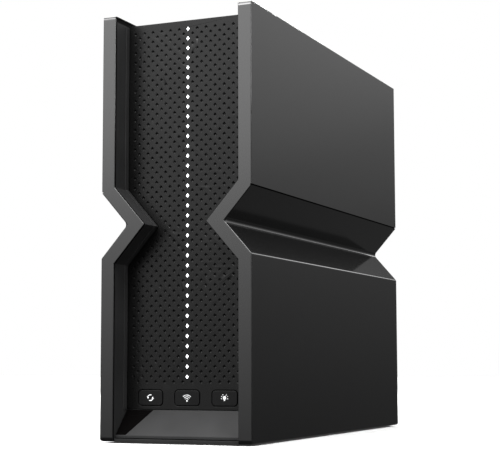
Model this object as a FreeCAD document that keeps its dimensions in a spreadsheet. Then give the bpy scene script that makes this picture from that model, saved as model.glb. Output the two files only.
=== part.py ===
import FreeCAD, Part
import os
import re

import Sketcher

# Wireless cable gateway: an hourglass tower that stands on a desk.
# +Z is up, the front faces -Y, and the origin is the bottom centre, where the feet meet the desk.
# Every size below is in millimetres, apart from the counts and the angle.

DIMENSIONS = (
    # envelope and the hourglass outline
    ("width", 100, "overall width across the two side covers"),
    ("depth", 284, "overall depth, front rim to rear rim"),
    ("height", 262, "overall height, desk to the top of the covers"),
    ("foot_gap", 0.8, "height of the covers and the base above the desk"),
    ("notch_depth", 17.7, "how far the waist cuts in from each side"),
    ("notch_half", 20.1, "half of the waist's height, measured at the side"),
    ("rim", 8.7, "width of the rim that each cover shows at the front"),
    # covers, frames and panels
    ("wall", 2.2, "thickness of a cover's skin"),
    ("leg_wall", 1.6, "thickness of a cover's inner return"),
    ("leg_front", 13, "depth of the inner return behind the front rim"),
    ("leg_rear", 7, "depth of the inner return behind the rear rim"),
    ("leg_top", 4, "depth of the inner return at top and bottom"),
    ("cover_round", 2.6, "rounding of a cover's ends and of the waist's crease"),
    ("shoulder_round", 0.6, "rounding of the two shoulders above and below the waist"),
    ("recess_front", 17.6, "front rim to the face of the grille"),
    ("recess_rear", 12, "rear rim to the face of the port panel"),
    ("panel", 2, "thickness of the grille, port panel and top vent"),
    ("top_step", 2.9, "top of the covers to the top vent"),
    ("fit", 0.2, "assembly gap between neighbouring mouldings"),
    ("lip_step", 0.4, "inward step of the frame just ahead of the grille"),
    ("lip_depth", 4.2, "depth of that step"),
    ("border", 5, "width of the frame's flange behind a panel"),
    ("base_wall", 1.8, "thickness of the base plate"),
    ("base_set", 1.6, "front rim to the front edge of the base"),
    ("chin_set", 3.2, "front rim to the nose of the chin"),
    ("chin_top", 19.5, "top edge of the sloped chin"),
    ("chin_low", 4.7, "lower edge of the chin's slope"),
    ("chin_wall", 2.9, "thickness of the chin, measured along the depth"),
    ("screw_radius", 1.4, "radius of a panel screw's shank"),
    # repeated openings
    ("intake_count", 9, "intake slots in the base, under the fan"),
    ("intake_pitch", 5.2, "spacing of the intake slots"),
    ("intake_width", 2.6, "width of an intake slot"),
    ("intake_half", 22, "half the length of an intake slot, and of their row"),
    ("vent_count", 31, "rows of slots in the top vent"),
    ("vent_pitch", 7.2, "spacing of the top vent's rows"),
    ("vent_width", 2.8, "width of a slot in the top vent"),
    ("vent_first", -108, "front edge of the top vent's first slot"),
    ("port_slot_count", 10, "slots in each block of slots in the port panel"),
    ("port_slot_pitch", 6.4, "spacing of the port panel's slots"),
    ("port_slot_height", 2.6, "height of a slot in the port panel"),
    ("port_slot_low", 20, "lowest slot of the lower blocks in the port panel"),
    ("port_slot_high", 176, "lowest slot of the upper blocks in the port panel"),
    # light column
    ("lamp_count", 36, "lights in the column"),
    ("lamp_pitch", 6.12, "spacing of the lights"),
    ("lamp_first", 39.5, "height of the lowest light"),
    ("lamp_hole", 0.95, "radius of a light's hole in the grille"),
    ("lamp_pin", 0.85, "radius of a light guide pin"),
    ("lamp_board_set", 4.8, "back of the grille to the lamp board"),
    # front keys
    ("key_width", 16.4, "width of a front key"),
    ("key_height", 9.2, "height of a front key"),
    ("key_pitch", 24.8, "spacing of the front keys"),
    ("key_level", 26.8, "height of the front keys' centres"),
    ("key_gap", 0.35, "gap all round a front key"),
    ("key_proud", 0.3, "how far a key stands out of the grille"),
    ("key_round", 2.2, "corner radius of a front key"),
    ("key_stem", 1.7, "radius of a key's stem and of its plunger"),
    ("key_board_set", 8.8, "back of the grille to the key board"),
    # rear panel, heights of the connectors' centres
    ("reset_level", 238, "reset pinhole"),
    ("usb_level", 218, "storage socket"),
    ("lan_level", 142, "lowest of the four local network jacks"),
    ("lan_pitch", 18, "spacing of the local network jacks"),
    ("wan_level", 118, "uplink network jack"),
    ("coax_level", 90, "coaxial connector"),
    ("power_level", 66, "power button"),
    ("inlet_level", 44, "direct-current inlet"),
    # board stack, measured across the width
    ("board_left", 6, "component face of the main board"),
    ("board_wall", 1.6, "thickness of every circuit board"),
    ("board_front", -100, "front edge of the main board"),
    ("board_low", 30, "lower edge of the main board"),
    ("board_high", 246, "upper edge of the main board"),
    ("chassis_left", 12, "board side of the chassis plate"),
    ("chassis_wall", 2, "thickness of the chassis plate"),
    ("screw_low", 38, "lower row of board screws"),
    ("screw_high", 238, "upper row of board screws"),
    ("screw_front", -92, "front column of board screws"),
    ("screw_rear", 84, "rear column of board screws"),
    ("fin_front", -84, "front edge of both heat sinks"),
    ("fin_count", 26, "fins on each heat sink"),
    ("fin_pitch", 6.08, "spacing of the fins"),
    ("fin_wall", 1.6, "thickness of a fin"),
    ("sink_rear", 70, "rear edge of both heat sinks"),
    # network jacks
    ("jack_width", 16, "width of a network jack, along the height"),
    ("jack_height", 13.5, "height of a network jack above its board"),
    ("jack_back", 109.5, "rear end of a network jack, inside the case"),
    ("jack_mouth", 130.2, "open end of a network jack"),
    ("socket_width", 11.9, "width of the plug's socket"),
    ("socket_low", -4.65, "latch side of the plug's socket"),
    ("socket_high", 2.25, "contact side of the plug's socket"),
    ("socket_end", 117.6, "end wall of the plug's socket"),
    # cooling fan
    ("fan_y", -20, "fan axis along the depth"),
    ("fan_size", 60, "side of the fan's square frame"),
    ("fan_wall", 15, "thickness of the fan"),
    ("fan_bore", 28, "radius of the fan's duct"),
    ("blade_tip", 27, "radius at the blades' tips"),
    ("hub_radius", 13, "radius of the rotor's hub"),
    ("blade_count", 7, "number of blades"),
    ("shaft_radius", 1, "radius of the fan's shaft"),
    ("shaft_clearance", 0.04, "radial running clearance in the bearing"),
)

FRONT = "(-depth/2)"
REAR = "(depth/2)"
LOW = "foot_gap"
MIDDLE = "((height + foot_gap)/2)"
GRILLE_FACE = "(-depth/2 + recess_front)"
GRILLE_BACK = "(-depth/2 + recess_front + panel)"
PORT_FACE = "(depth/2 - recess_rear)"
PORT_BACK = "(depth/2 - recess_rear - panel)"
VENT_TOP = "(height - top_step)"
VENT_LOW = "(height - top_step - panel)"
BASE_TOP = "(foot_gap + base_wall)"
SIDE = "(width/2 - rim - fit)"
BOARD_RIGHT = "(board_left + board_wall)"
KEY_BOARD = "(-depth/2 + recess_front + panel + key_board_set)"
LAMP_BOARD = "(-depth/2 + recess_front + panel + lamp_board_set)"
WINDOW_HALF = "(width/2 - rim - border)"

SHEET = "Sizes"
ALIASES = re.compile(r"\b(" + "|".join(row[0] for row in DIMENSIONS) + r")\b")
SIZE_OF = {row[0]: row[1] for row in DIMENSIONS}
PLANE_SIGN = {"XY_Plane": 1, "XZ_Plane": -1, "YZ_Plane": 1}
UPRIGHT = FreeCAD.Rotation()
ALONG_X = FreeCAD.Rotation(FreeCAD.Vector(0, 1, 0), 90)
ALONG_Y = FreeCAD.Rotation(FreeCAD.Vector(1, 0, 0), -90)

doc = FreeCAD.newDocument("gateway")
nodes = []


# ---------------------------------------------------------------- spreadsheet and expressions


def make_sheet():
    """Fills the spreadsheet of driving dimensions."""
    sheet = doc.addObject("Spreadsheet::Sheet", SHEET)
    for row, (alias, value, note) in enumerate(DIMENSIONS, 1):
        sheet.set(f"A{row}", alias)
        sheet.set(f"B{row}", str(value))
        sheet.set(f"C{row}", note)
        sheet.setAlias(f"B{row}", alias)
    doc.recompute()


def bound(text):
    """An expression on plain alias names, as one on the sheet's cells."""
    return ALIASES.sub(SHEET + r".\1", str(text))


def number(text):
    """The value that an expression has with the sheet's present numbers."""
    meter.setExpression("Reading", bound(text))
    meter.recompute()
    return meter.Reading


def bind(thing, **properties):
    """Binds properties to expressions: a double underscore stands for a dot."""
    for name, text in properties.items():
        thing.setExpression(name.replace("__", "."), bound(text))
    return thing


def place(thing, x, y, z):
    """Binds the three coordinates of an object's Placement."""
    bind(thing, Placement__Base__x=x, Placement__Base__y=y, Placement__Base__z=z)
    return thing


def node(thing, name):
    """Marks an object as a sub-part with that name."""
    thing.Label = name
    nodes.append(thing)
    return thing


# ---------------------------------------------------------------- Part primitives


def block(name, low, high):
    """A box between two corners, each three expressions."""
    box = doc.addObject("Part::Box", name)
    sizes = [f"({b}) - ({a})" for a, b in zip(low, high)]
    bind(box, Length=sizes[0], Width=sizes[1], Height=sizes[2])
    return place(box, *low)


def rod(name, start, radius, length, turn=UPRIGHT):
    """A cylinder from a start point along the turned Z axis."""
    cylinder = doc.addObject("Part::Cylinder", name)
    cylinder.Placement.Rotation = turn
    bind(cylinder, Radius=radius, Height=length)
    return place(cylinder, *start)


def fused(name, shapes):
    """The union of several objects."""
    union = doc.addObject("Part::MultiFuse", name)
    union.Shapes = shapes
    return union


def cut(name, base, tools):
    """An object less one or more others."""
    tool = tools[0] if len(tools) == 1 else fused(name + "_tools", tools)
    result = doc.addObject("Part::Cut", name)
    result.Base = base
    result.Tool = tool
    return result


def group(name, shapes):
    """Separate solids kept together as one sub-part."""
    compound = doc.addObject("Part::Compound", name)
    compound.Links = shapes
    return node(compound, name)


# ---------------------------------------------------------------- PartDesign helpers


def new_body(name):
    """An empty PartDesign body that is a sub-part."""
    return node(doc.addObject("PartDesign::Body", name), name)


def new_sketch(body, name, plane, level):
    """A sketch on one of the body's own planes, moved to a level along that plane's world axis."""
    sketch = body.newObject("Sketcher::SketchObject", name)
    support = [item for item in body.Origin.OriginFeatures if item.Role == plane][0]
    sketch.AttachmentSupport = [(support, "")]
    sketch.MapMode = "FlatFace"
    sketch.setExpression("AttachmentOffset.Base.z", bound(f"{PLANE_SIGN[plane]} * ({level})"))
    return sketch


def fix_point(sketch, geometry, position, across, up, label):
    """Fixes a sketch point at two expressions measured from the sketch's origin."""
    for kind, text in (("DistanceX", across), ("DistanceY", up)):
        sketch.addConstraint(Sketcher.Constraint(kind, -1, 1, geometry, position, number(text)))
        name = f"{kind.lower()}_{label}"
        sketch.renameConstraint(sketch.ConstraintCount - 1, name)
        sketch.setExpression(f"Constraints.{name}", bound(text))


def add_polygon(sketch, points):
    """Adds a closed polygon whose corners are pairs of expressions."""
    first = sketch.GeometryCount
    corners = [FreeCAD.Vector(number(a), number(b), 0) for a, b in points]
    count = len(points)
    for index in range(count):
        line = Part.LineSegment(corners[index], corners[(index + 1) % count])
        sketch.addGeometry(line, False)
    for index in range(count):
        ends = (first + index, 2, first + (index + 1) % count, 1)
        sketch.addConstraint(Sketcher.Constraint("Coincident", *ends))
    for index, (across, up) in enumerate(points):
        fix_point(sketch, first + index, 1, across, up, f"{first}_{index}")


def add_circle(sketch, across, up, radius):
    """Adds a circle whose centre and radius are expressions."""
    index = sketch.GeometryCount
    centre = FreeCAD.Vector(number(across), number(up), 0)
    circle = Part.Circle(centre, FreeCAD.Vector(0, 0, 1), number(radius))
    sketch.addGeometry(circle, False)
    fix_point(sketch, index, 3, across, up, str(index))
    sketch.addConstraint(Sketcher.Constraint("Radius", index, number(radius)))
    name = f"radius_{index}"
    sketch.renameConstraint(sketch.ConstraintCount - 1, name)
    sketch.setExpression(f"Constraints.{name}", bound(radius))


def rectangle(left, right, low, high):
    """The four corners of an upright rectangle."""
    return [(left, low), (right, low), (right, high), (left, high)]


def prism(body, kind, name, plane, outlines, low, high):
    """A Pad, or a Pocket, of some outlines between two levels along the plane's world axis.

    An outline is a list of corners, or a circle as a tuple (across, up, radius).
    """
    forward = PLANE_SIGN[plane] > 0
    start = low if (kind == "Pad") == forward else high
    sketch = new_sketch(body, name + "_sketch", plane, start)
    for outline in outlines:
        if isinstance(outline, tuple):
            add_circle(sketch, *outline)
        else:
            add_polygon(sketch, outline)
    before = body.Shape.Volume if body.Tip else 0
    feature = body.newObject("PartDesign::" + kind, name)
    feature.Profile = sketch
    bind(feature, Length=f"({high}) - ({low})")
    doc.recompute()
    change = feature.Shape.Volume - before
    if (change > 0) != (kind == "Pad") or abs(change) < 1e-3:
        raise RuntimeError(f"{body.Label}.{name} changed the volume by {change}")
    return feature


def pad(body, name, plane, outlines, low, high):
    """Adds material between two levels."""
    return prism(body, "Pad", name, plane, outlines, low, high)


def pocket(body, name, plane, outlines, low, high):
    """Removes material between two levels."""
    return prism(body, "Pocket", name, plane, outlines, low, high)


def row_of(body, feature, axis, count, pitch):
    """Repeats a feature along one of the body's own axes, such as Z_Axis."""
    pattern = body.newObject("PartDesign::LinearPattern", feature.Name + "_row")
    pattern.Originals = [feature]
    support = [item for item in body.Origin.OriginFeatures if item.Role == axis][0]
    pattern.Direction = (support, [""])
    bind(pattern, Length=f"(({count}) - 1) * ({pitch})", Occurrences=count)
    body.Tip = pattern
    doc.recompute()
    return pattern


def ring_of(body, feature, count):
    """Repeats a feature round the body's own Z axis."""
    pattern = body.newObject("PartDesign::PolarPattern", feature.Name + "_ring")
    pattern.Originals = [feature]
    support = [item for item in body.Origin.OriginFeatures if item.Role == "Z_Axis"][0]
    pattern.Axis = (support, [""])
    pattern.Angle = 360
    bind(pattern, Occurrences=count)
    body.Tip = pattern
    doc.recompute()
    return pattern


def round_edges(body, name, chosen, radius):
    """Fillets the edges of the body's present shape that the test chooses."""
    base = body.Tip
    names = [f"Edge{n}" for n, edge in enumerate(base.Shape.Edges, 1) if chosen(edge)]
    if not names:
        raise RuntimeError(f"{body.Label}.{name} found no edge to round")
    fillet = body.newObject("PartDesign::Fillet", name)
    fillet.Base = (base, names)
    bind(fillet, Radius=radius)
    doc.recompute()
    return fillet


def runs_along(edge, axis):
    """True for a straight edge along axis 0, 1 or 2."""
    if edge.Curve.TypeId != "Part::GeomLine":
        return False
    return abs(abs(edge.Curve.Direction[axis]) - 1) < 1e-6


# ---------------------------------------------------------------- the hourglass outline


def waist(side, inset, low, high):
    """Five points up one side of the hourglass, moved inwards by an inset, side being +1 or -1."""
    slant = "sqrt(1 + (notch_depth/notch_half)^2)"
    reach = f"(notch_half + ({inset}) * ({slant} - 1) * notch_half/notch_depth)"
    outer = f"{side} * (width/2 - ({inset}))"
    inner = f"{side} * (width/2 - notch_depth - ({inset}) * {slant})"
    return [
        (outer, low),
        (outer, f"{MIDDLE} - {reach}"),
        (inner, MIDDLE),
        (outer, f"{MIDDLE} + {reach}"),
        (outer, high),
    ]


def band(side, outside, inside, low, high):
    """The outline of a band between two insets on one side."""
    return waist(side, outside, low, high) + waist(side, inside, low, high)[::-1]


def hourglass(inset, low, high):
    """The whole outline, both sides, at one inset."""
    return waist(1, inset, low, high) + waist(-1, inset, low, high)[::-1]


# ---------------------------------------------------------------- case


def make_side_cover(name, side):
    """A side cover: a tray with the hourglass skin, four rims and a return all round its mouth."""
    body = new_body(name)
    pad(body, "blank", "XZ_Plane", [band(side, 0, "rim", LOW, "height")], FRONT, REAR)

    def outer_crease(edge):
        return runs_along(edge, 1) and abs(edge.BoundBox.Center.z - number(MIDDLE)) < 1

    def shoulder(edge):
        centre = edge.BoundBox.Center
        at_level = abs(abs(centre.z - number(MIDDLE)) - number("notch_half")) < 0.1
        return runs_along(edge, 1) and at_level

    def end_corner(edge):
        centre = edge.BoundBox.Center
        return runs_along(edge, 0) and abs(abs(centre.y) - number("depth/2")) < 0.1

    round_edges(body, "crease_rounds", outer_crease, "cover_round")
    round_edges(body, "shoulder_rounds", shoulder, "shoulder_round")
    round_edges(body, "end_rounds", end_corner, "cover_round")
    hollow = band(side, "wall", "rim - leg_wall", f"{LOW} + wall", "height - wall")
    pocket(body, "hollow", "XZ_Plane", [hollow], f"{FRONT} + wall", f"{REAR} - wall")
    mouth = band(side, "wall + 1", "rim + 1", f"{LOW} + leg_top", "height - leg_top")
    pocket(body, "mouth", "XZ_Plane", [mouth], f"{FRONT} + leg_front", f"{REAR} - leg_rear")


def make_frame(name, walls, flange, windows):
    """A frame that carries a panel: a flange behind it and two walls out to the covers.

    walls and flange are each a pair of levels, and windows are the flange's openings.
    """
    body = new_body(name)
    low = f"{LOW} + leg_top + fit"
    outline = hourglass("rim - leg_wall", low, f"{VENT_LOW} - fit")
    pad(body, "flange", "XZ_Plane", [outline], *flange)
    for side, label in ((1, "right"), (-1, "left")):
        wall = band(side, "rim - leg_wall", "rim", low, "height - leg_top - fit")
        pad(body, label + "_wall", "XZ_Plane", [wall], *walls)
    pocket(body, "windows", "XZ_Plane", windows, *flange)
    return body


def make_front_frame():
    """The grille's frame, with windows for the keys and the lights, and posts for their boards."""
    flange_back = f"({GRILLE_BACK} + panel)"
    windows = [
        rectangle(f"-{WINDOW_HALF}", WINDOW_HALF, f"{LOW} + 12", "key_level + 6.4"),
        hourglass("rim + border", "lamp_first - 2.1", f"{VENT_LOW} - border"),
    ]
    walls = (f"{FRONT} + leg_front + fit", GRILLE_BACK)
    body = make_frame("front_frame", walls, (GRILLE_BACK, flange_back), windows)
    notch = rectangle("-3", "3", f"{VENT_LOW} - border", VENT_LOW)
    pocket(body, "light_guide_notch", "XZ_Plane", [notch], GRILLE_BACK, flange_back)
    for side, label in ((1, "right"), (-1, "left")):
        step = band(side, "rim - 0.1", "rim + lip_step", "chin_top + fit", "height - leg_top - fit")
        ends = (f"{GRILLE_FACE} - lip_depth", f"{GRILLE_FACE} - 0.05")
        pad(body, label + "_lip", "XZ_Plane", [step], *ends)
    key_posts = [(f"{side} * 39.2", "key_level - 1", "2.2") for side in (-1, 1)]
    pad(body, "key_board_posts", "XZ_Plane", key_posts, flange_back, KEY_BOARD)
    levels = ("lamp_first - 4.2", f"{VENT_LOW} - 2.7")
    lamp_posts = [(f"{side} * 6.5", level, "1.8") for side in (-1, 1) for level in levels]
    pad(body, "lamp_board_posts", "XZ_Plane", lamp_posts, flange_back, LAMP_BOARD)


def make_rear_frame():
    """The port panel's frame, with a window for the connectors and holes for four screws."""
    flange = (f"{PORT_BACK} - panel", PORT_BACK)
    windows = [hourglass("rim + border", f"{LOW} + 12", f"{VENT_LOW} - border")]
    walls = (PORT_BACK, f"{REAR} - leg_rear - fit")
    body = make_frame("rear_frame", walls, flange, windows)
    holes = [(x, z, "screw_radius") for x, z in panel_screw_places()]
    pocket(body, "screw_holes", "XZ_Plane", holes, *flange)


def make_front_grille():
    """The grille plate, with a column of holes for the lights and three for the keys."""
    body = new_body("front_grille")
    outline = hourglass("rim + lip_step + fit", "chin_top + fit", VENT_TOP)
    pad(body, "plate", "XZ_Plane", [outline], GRILLE_FACE, GRILLE_BACK)
    keys = []
    for index in (-1, 0, 1):
        half_width = "(key_width/2 + key_gap)"
        half_height = "(key_height/2 + key_gap)"
        keys.append(
            rectangle(
                f"{index} * key_pitch - {half_width}",
                f"{index} * key_pitch + {half_width}",
                f"key_level - {half_height}",
                f"key_level + {half_height}",
            )
        )
    pocket(body, "key_openings", "XZ_Plane", keys, GRILLE_FACE, GRILLE_BACK)

    def key_corner(edge):
        level = abs(edge.BoundBox.Center.z - number("key_level"))
        return runs_along(edge, 1) and level < number("key_height")

    round_edges(body, "key_corners", key_corner, "key_round + key_gap")
    hole = pocket(body, "lamp_hole", "XZ_Plane", [("0", "lamp_first", "lamp_hole")], GRILLE_FACE, GRILLE_BACK)
    row_of(body, hole, "Z_Axis", "lamp_count", "lamp_pitch")


def make_chin():
    """The sloped chin below the grille, with a flange along its foot."""
    body = new_body("chin_panel")
    nose = f"({FRONT} + chin_set)"
    foot = f"({BASE_TOP} + 0.3)"
    end = f"({GRILLE_BACK} - 0.1)"
    slope = f"((chin_top - chin_low)/({GRILLE_FACE} - {nose}))"
    outline = [
        (nose, foot),
        (nose, "chin_low"),
        (GRILLE_FACE, "chin_top"),
        (end, "chin_top"),
        (end, f"chin_top - ({GRILLE_FACE} + chin_wall - {end}) * {slope}"),
        (f"{nose} + chin_wall", "chin_low"),
        (end, "chin_low"),
        (end, foot),
    ]
    pad(body, "chin", "YZ_Plane", [outline], f"-{SIDE}", SIDE)


def make_base_plate():
    """The base plate, with an intake of slots under the fan and four seats for the feet."""
    body = new_body("base_plate")
    half = f"({REAR} - base_set)"
    outline = rectangle(f"-{SIDE}", SIDE, f"-{half}", half)
    pad(body, "plate", "XY_Plane", [outline], LOW, BASE_TOP)
    first_slot = "fan_y - intake_half"
    slot = rectangle("-intake_half", "intake_half", first_slot, f"{first_slot} + intake_width")
    intake = pocket(body, "intake_slot", "XY_Plane", [slot], LOW, BASE_TOP)
    row_of(body, intake, "Y_Axis", "intake_count", "intake_pitch")
    seats = [foot_outline(x, y, "11", "4.5") for x, y in foot_places()]
    pocket(body, "foot_seats", "XY_Plane", seats, LOW, f"{LOW} + 0.8")
    holes = [(f"{x}", f"fan_y + {y}", "1.8") for x, y in fan_screw_places()]
    pocket(body, "fan_screw_holes", "XY_Plane", holes, f"{BASE_TOP} - 1.2", BASE_TOP)


def foot_places():
    """The centres of the four feet."""
    return [(x, y) for x in (-29, 29) for y in (-124, 124)]


def foot_outline(x, y, half_length, half_width):
    """The rectangle of one foot or of its seat."""
    return rectangle(
        f"{x} - {half_length}", f"{x} + {half_length}", f"{y} - {half_width}", f"{y} + {half_width}"
    )


def make_feet():
    """Four rubber feet, each pressed into a seat of the base plate."""
    feet = []
    for index, (x, y) in enumerate(foot_places(), 1):
        low = (f"{x} - 10.8", f"{y} - 4.3", "0")
        high = (f"{x} + 10.8", f"{y} + 4.3", "foot_gap + 0.8")
        feet.append(block(f"foot_{index}", low, high))
    group("rubber_feet", feet)


def make_top_vent():
    """The top panel, recessed between the covers, with two columns of vent slots."""
    body = new_body("top_vent")
    outline = rectangle(f"-{SIDE}", SIDE, f"{GRILLE_BACK} + fit", f"{PORT_BACK} - fit")
    pad(body, "plate", "XY_Plane", [outline], VENT_LOW, VENT_TOP)
    columns = (("-34", "-3"), ("3", "34"))
    slots = [rectangle(a, b, "vent_first", "vent_first + vent_width") for a, b in columns]
    first = pocket(body, "vent_slots", "XY_Plane", slots, VENT_LOW, VENT_TOP)
    row_of(body, first, "Y_Axis", "vent_count", "vent_pitch")


def make_rear_panel():
    """The port panel, with an opening for each connector and vent slots beside them."""
    body = new_body("rear_panel")
    outline = hourglass("rim + fit", f"{BASE_TOP} + fit", VENT_TOP)
    pad(body, "plate", "XZ_Plane", [outline], PORT_BACK, PORT_FACE)
    jack = ("board_left - jack_height - fit", "board_left + fit")
    openings = [
        rectangle(*jack, f"{level} - jack_width/2 - fit", f"{level} + jack_width/2 + fit")
        for level in jack_levels()
    ]
    openings.append(rectangle("-0.1", "6.3", "usb_level - 7", "usb_level + 7"))
    openings.append(("3", "reset_level", "1"))
    openings.append(("-2", "coax_level", "5"))
    openings.append(("0", "power_level", "4.9"))
    openings.append(("0", "inlet_level", "4"))
    openings += [(x, z, "1.6") for x, z in panel_screw_places()]
    pocket(body, "openings", "XZ_Plane", openings, PORT_BACK, PORT_FACE)
    columns = (("-34", "-16"), ("16", "34"))
    for level, label in (("port_slot_low", "lower"), ("port_slot_high", "upper")):
        slots = [rectangle(a, b, level, f"{level} + port_slot_height") for a, b in columns]
        first = pocket(body, label + "_slots", "XZ_Plane", slots, PORT_BACK, PORT_FACE)
        row_of(body, first, "Z_Axis", "port_slot_count", "port_slot_pitch")


def panel_screw_places():
    """Centres of the port panel's four screws, across and up."""
    return [(f"{side} * (width/2 - rim - 3)", z) for side in (-1, 1) for z in ("12", "252")]


def make_panel_screws():
    """The four screws that hold the port panel to the rear frame."""
    screws = []
    for index, (x, z) in enumerate(panel_screw_places(), 1):
        shank = rod(f"shank_{index}", (x, f"{PORT_BACK} - 2", z), "screw_radius", "panel + 2", ALONG_Y)
        head = rod(f"head_{index}", (x, PORT_FACE, z), "2.7", "1.5", ALONG_Y)
        screws.append(fused(f"panel_screw_{index}", [shank, head]))
    group("panel_screws", screws)


# ---------------------------------------------------------------- light column and front keys


def make_light_column():
    """The light guide with its pins, the strip board and the row of lamps on it."""
    guide = new_body("light_guide")
    top = "lamp_first + (lamp_count - 1) * lamp_pitch"
    bar = rectangle("-2.5", "2.5", "lamp_first - 1.6", f"{top} + 1.6")
    pad(guide, "bar", "XZ_Plane", [bar], f"{GRILLE_BACK} + 0.1", f"{GRILLE_BACK} + 3.1")
    pin = [("0", "lamp_first", "lamp_pin")]
    first = pad(guide, "pin", "XZ_Plane", pin, f"{GRILLE_FACE} - 0.1", f"{GRILLE_BACK} + 0.6")
    row_of(guide, first, "Z_Axis", "lamp_count", "lamp_pitch")

    low = ("-9", LAMP_BOARD, "lamp_first - 6")
    high = ("9", f"{LAMP_BOARD} + board_wall", f"{top} + 2.6")
    node(block("lamp_board", low, high), "lamp_board")
    lamps = []
    for index in range(int(SIZE_OF["lamp_count"])):
        level = f"lamp_first + {index} * lamp_pitch"
        low = ("-1", f"{LAMP_BOARD} - 0.9", f"{level} - 0.6")
        high = ("1", LAMP_BOARD, f"{level} + 0.6")
        lamps.append(block(f"lamp_{index + 1}", low, high))
    group("indicator_lamps", lamps)


def make_front_key(name, index):
    """A front key: a cap, a flange that stops it falling out, and a stem, with its plunger."""
    body = new_body(name + "_button")
    centre = f"({index} * key_pitch)"
    face = f"({GRILLE_FACE} - key_proud)"
    cap = key_outline(centre, "0")
    pad(body, "cap", "XZ_Plane", [cap], face, f"{GRILLE_BACK} + 0.6")
    round_edges(body, "corners", lambda edge: runs_along(edge, 1), "key_round")
    flange = key_outline(centre, "1")
    pad(body, "flange", "XZ_Plane", [flange], f"{GRILLE_BACK} + 0.3", f"{GRILLE_BACK} + 1.3")
    stem = [(centre, "key_level", "key_stem")]
    pad(body, "stem", "XZ_Plane", stem, f"{GRILLE_BACK} + 1.3", f"{GRILLE_BACK} + 4")
    start = (centre, f"{GRILLE_BACK} + 4", "key_level")
    plunger = rod(name + "_plunger", start, "key_stem", "2.1", ALONG_Y)
    node(plunger, name + "_plunger")


def key_outline(centre, spare):
    """A key's rectangle, larger by a spare amount all round."""
    half_width = f"(key_width/2 + {spare})"
    half_height = f"(key_height/2 + {spare})"
    return rectangle(
        f"{centre} - {half_width}",
        f"{centre} + {half_width}",
        f"key_level - {half_height}",
        f"key_level + {half_height}",
    )


def make_key_board():
    """The board behind the keys, with a tactile switch for each."""
    low = ("-41.6", KEY_BOARD, "key_level - 9")
    high = ("41.6", f"{KEY_BOARD} + board_wall", "key_level + 6")
    node(block("key_board", low, high), "key_board")
    switches = []
    for index in (-1, 0, 1):
        centre = f"({index} * key_pitch)"
        low = (f"{centre} - 3", f"{KEY_BOARD} - 3.5", "key_level - 3")
        high = (f"{centre} + 3", KEY_BOARD, "key_level + 3")
        case = block(f"switch_case_{index + 2}", low, high)
        start = (centre, f"{KEY_BOARD} - 3.5", "key_level")
        bore = rod(f"switch_bore_{index + 2}", start, "2", "1.8", ALONG_Y)
        switches.append(cut(f"key_switch_{index + 2}", case, [bore]))
    group("key_switches", switches)


# ---------------------------------------------------------------- chassis and boards


def board_screw_places():
    """Depth and height of the six board screws."""
    levels = ("screw_low", MIDDLE, "screw_high")
    return [(y, z) for y in ("screw_front", "screw_rear") for z in levels]


def make_chassis():
    """The upright chassis plate on two legs, with windows for air and bosses for the board."""
    body = new_body("chassis")
    front = f"({KEY_BOARD} + board_wall + 1)"
    rear = f"({PORT_BACK} - panel - fit)"
    shoulder = "24"
    outline = [
        (front, BASE_TOP),
        (f"{front} + 18", BASE_TOP),
        (f"{front} + 18", shoulder),
        (f"{rear} - 18", shoulder),
        (f"{rear} - 18", BASE_TOP),
        (rear, BASE_TOP),
        (rear, f"{VENT_LOW} - fit"),
        (front, f"{VENT_LOW} - fit"),
    ]
    right = "chassis_left + chassis_wall"
    pad(body, "plate", "YZ_Plane", [outline], "chassis_left", right)
    windows = [
        rectangle("-78", "-12", "50", "118"),
        rectangle("0", "66", "50", "118"),
        rectangle("-78", "-12", "146", "226"),
        rectangle("0", "66", "146", "226"),
    ]
    pocket(body, "windows", "YZ_Plane", windows, "chassis_left", right)
    bosses = [(y, z, "3.5") for y, z in board_screw_places()]
    pad(body, "bosses", "YZ_Plane", bosses, BOARD_RIGHT, "chassis_left + 1")
    holes = [(y, z, "1.35") for y, z in board_screw_places()]
    pocket(body, "screw_holes", "YZ_Plane", holes, BOARD_RIGHT, right)


def make_main_board():
    """The main board, with its screw holes."""
    body = new_body("main_board")
    rear = f"{PORT_BACK} - panel - 0.4"
    outline = rectangle("board_front", rear, "board_low", "board_high")
    pad(body, "laminate", "YZ_Plane", [outline], "board_left", BOARD_RIGHT)
    holes = [(y, z, "1.6") for y, z in board_screw_places()]
    pocket(body, "screw_holes", "YZ_Plane", holes, "board_left", BOARD_RIGHT)


def make_board_screws():
    """The six screws that hold the main board to the chassis bosses."""
    screws = []
    for index, (y, z) in enumerate(board_screw_places(), 1):
        shank = rod(f"board_shank_{index}", ("board_left - 0.5", y, z), "1.3", "6", ALONG_X)
        head = rod(f"board_head_{index}", ("board_left - 1.8", y, z), "2.6", "1.8", ALONG_X)
        screws.append(fused(f"board_screw_{index}", [shank, head]))
    group("board_screws", screws)


def shield_places():
    """Front, rear, lower and upper limits of the three shield cans."""
    return [("-70", "-12", "152", "216"), ("0", "58", "152", "216"), ("-58", "12", "58", "110")]


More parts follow.
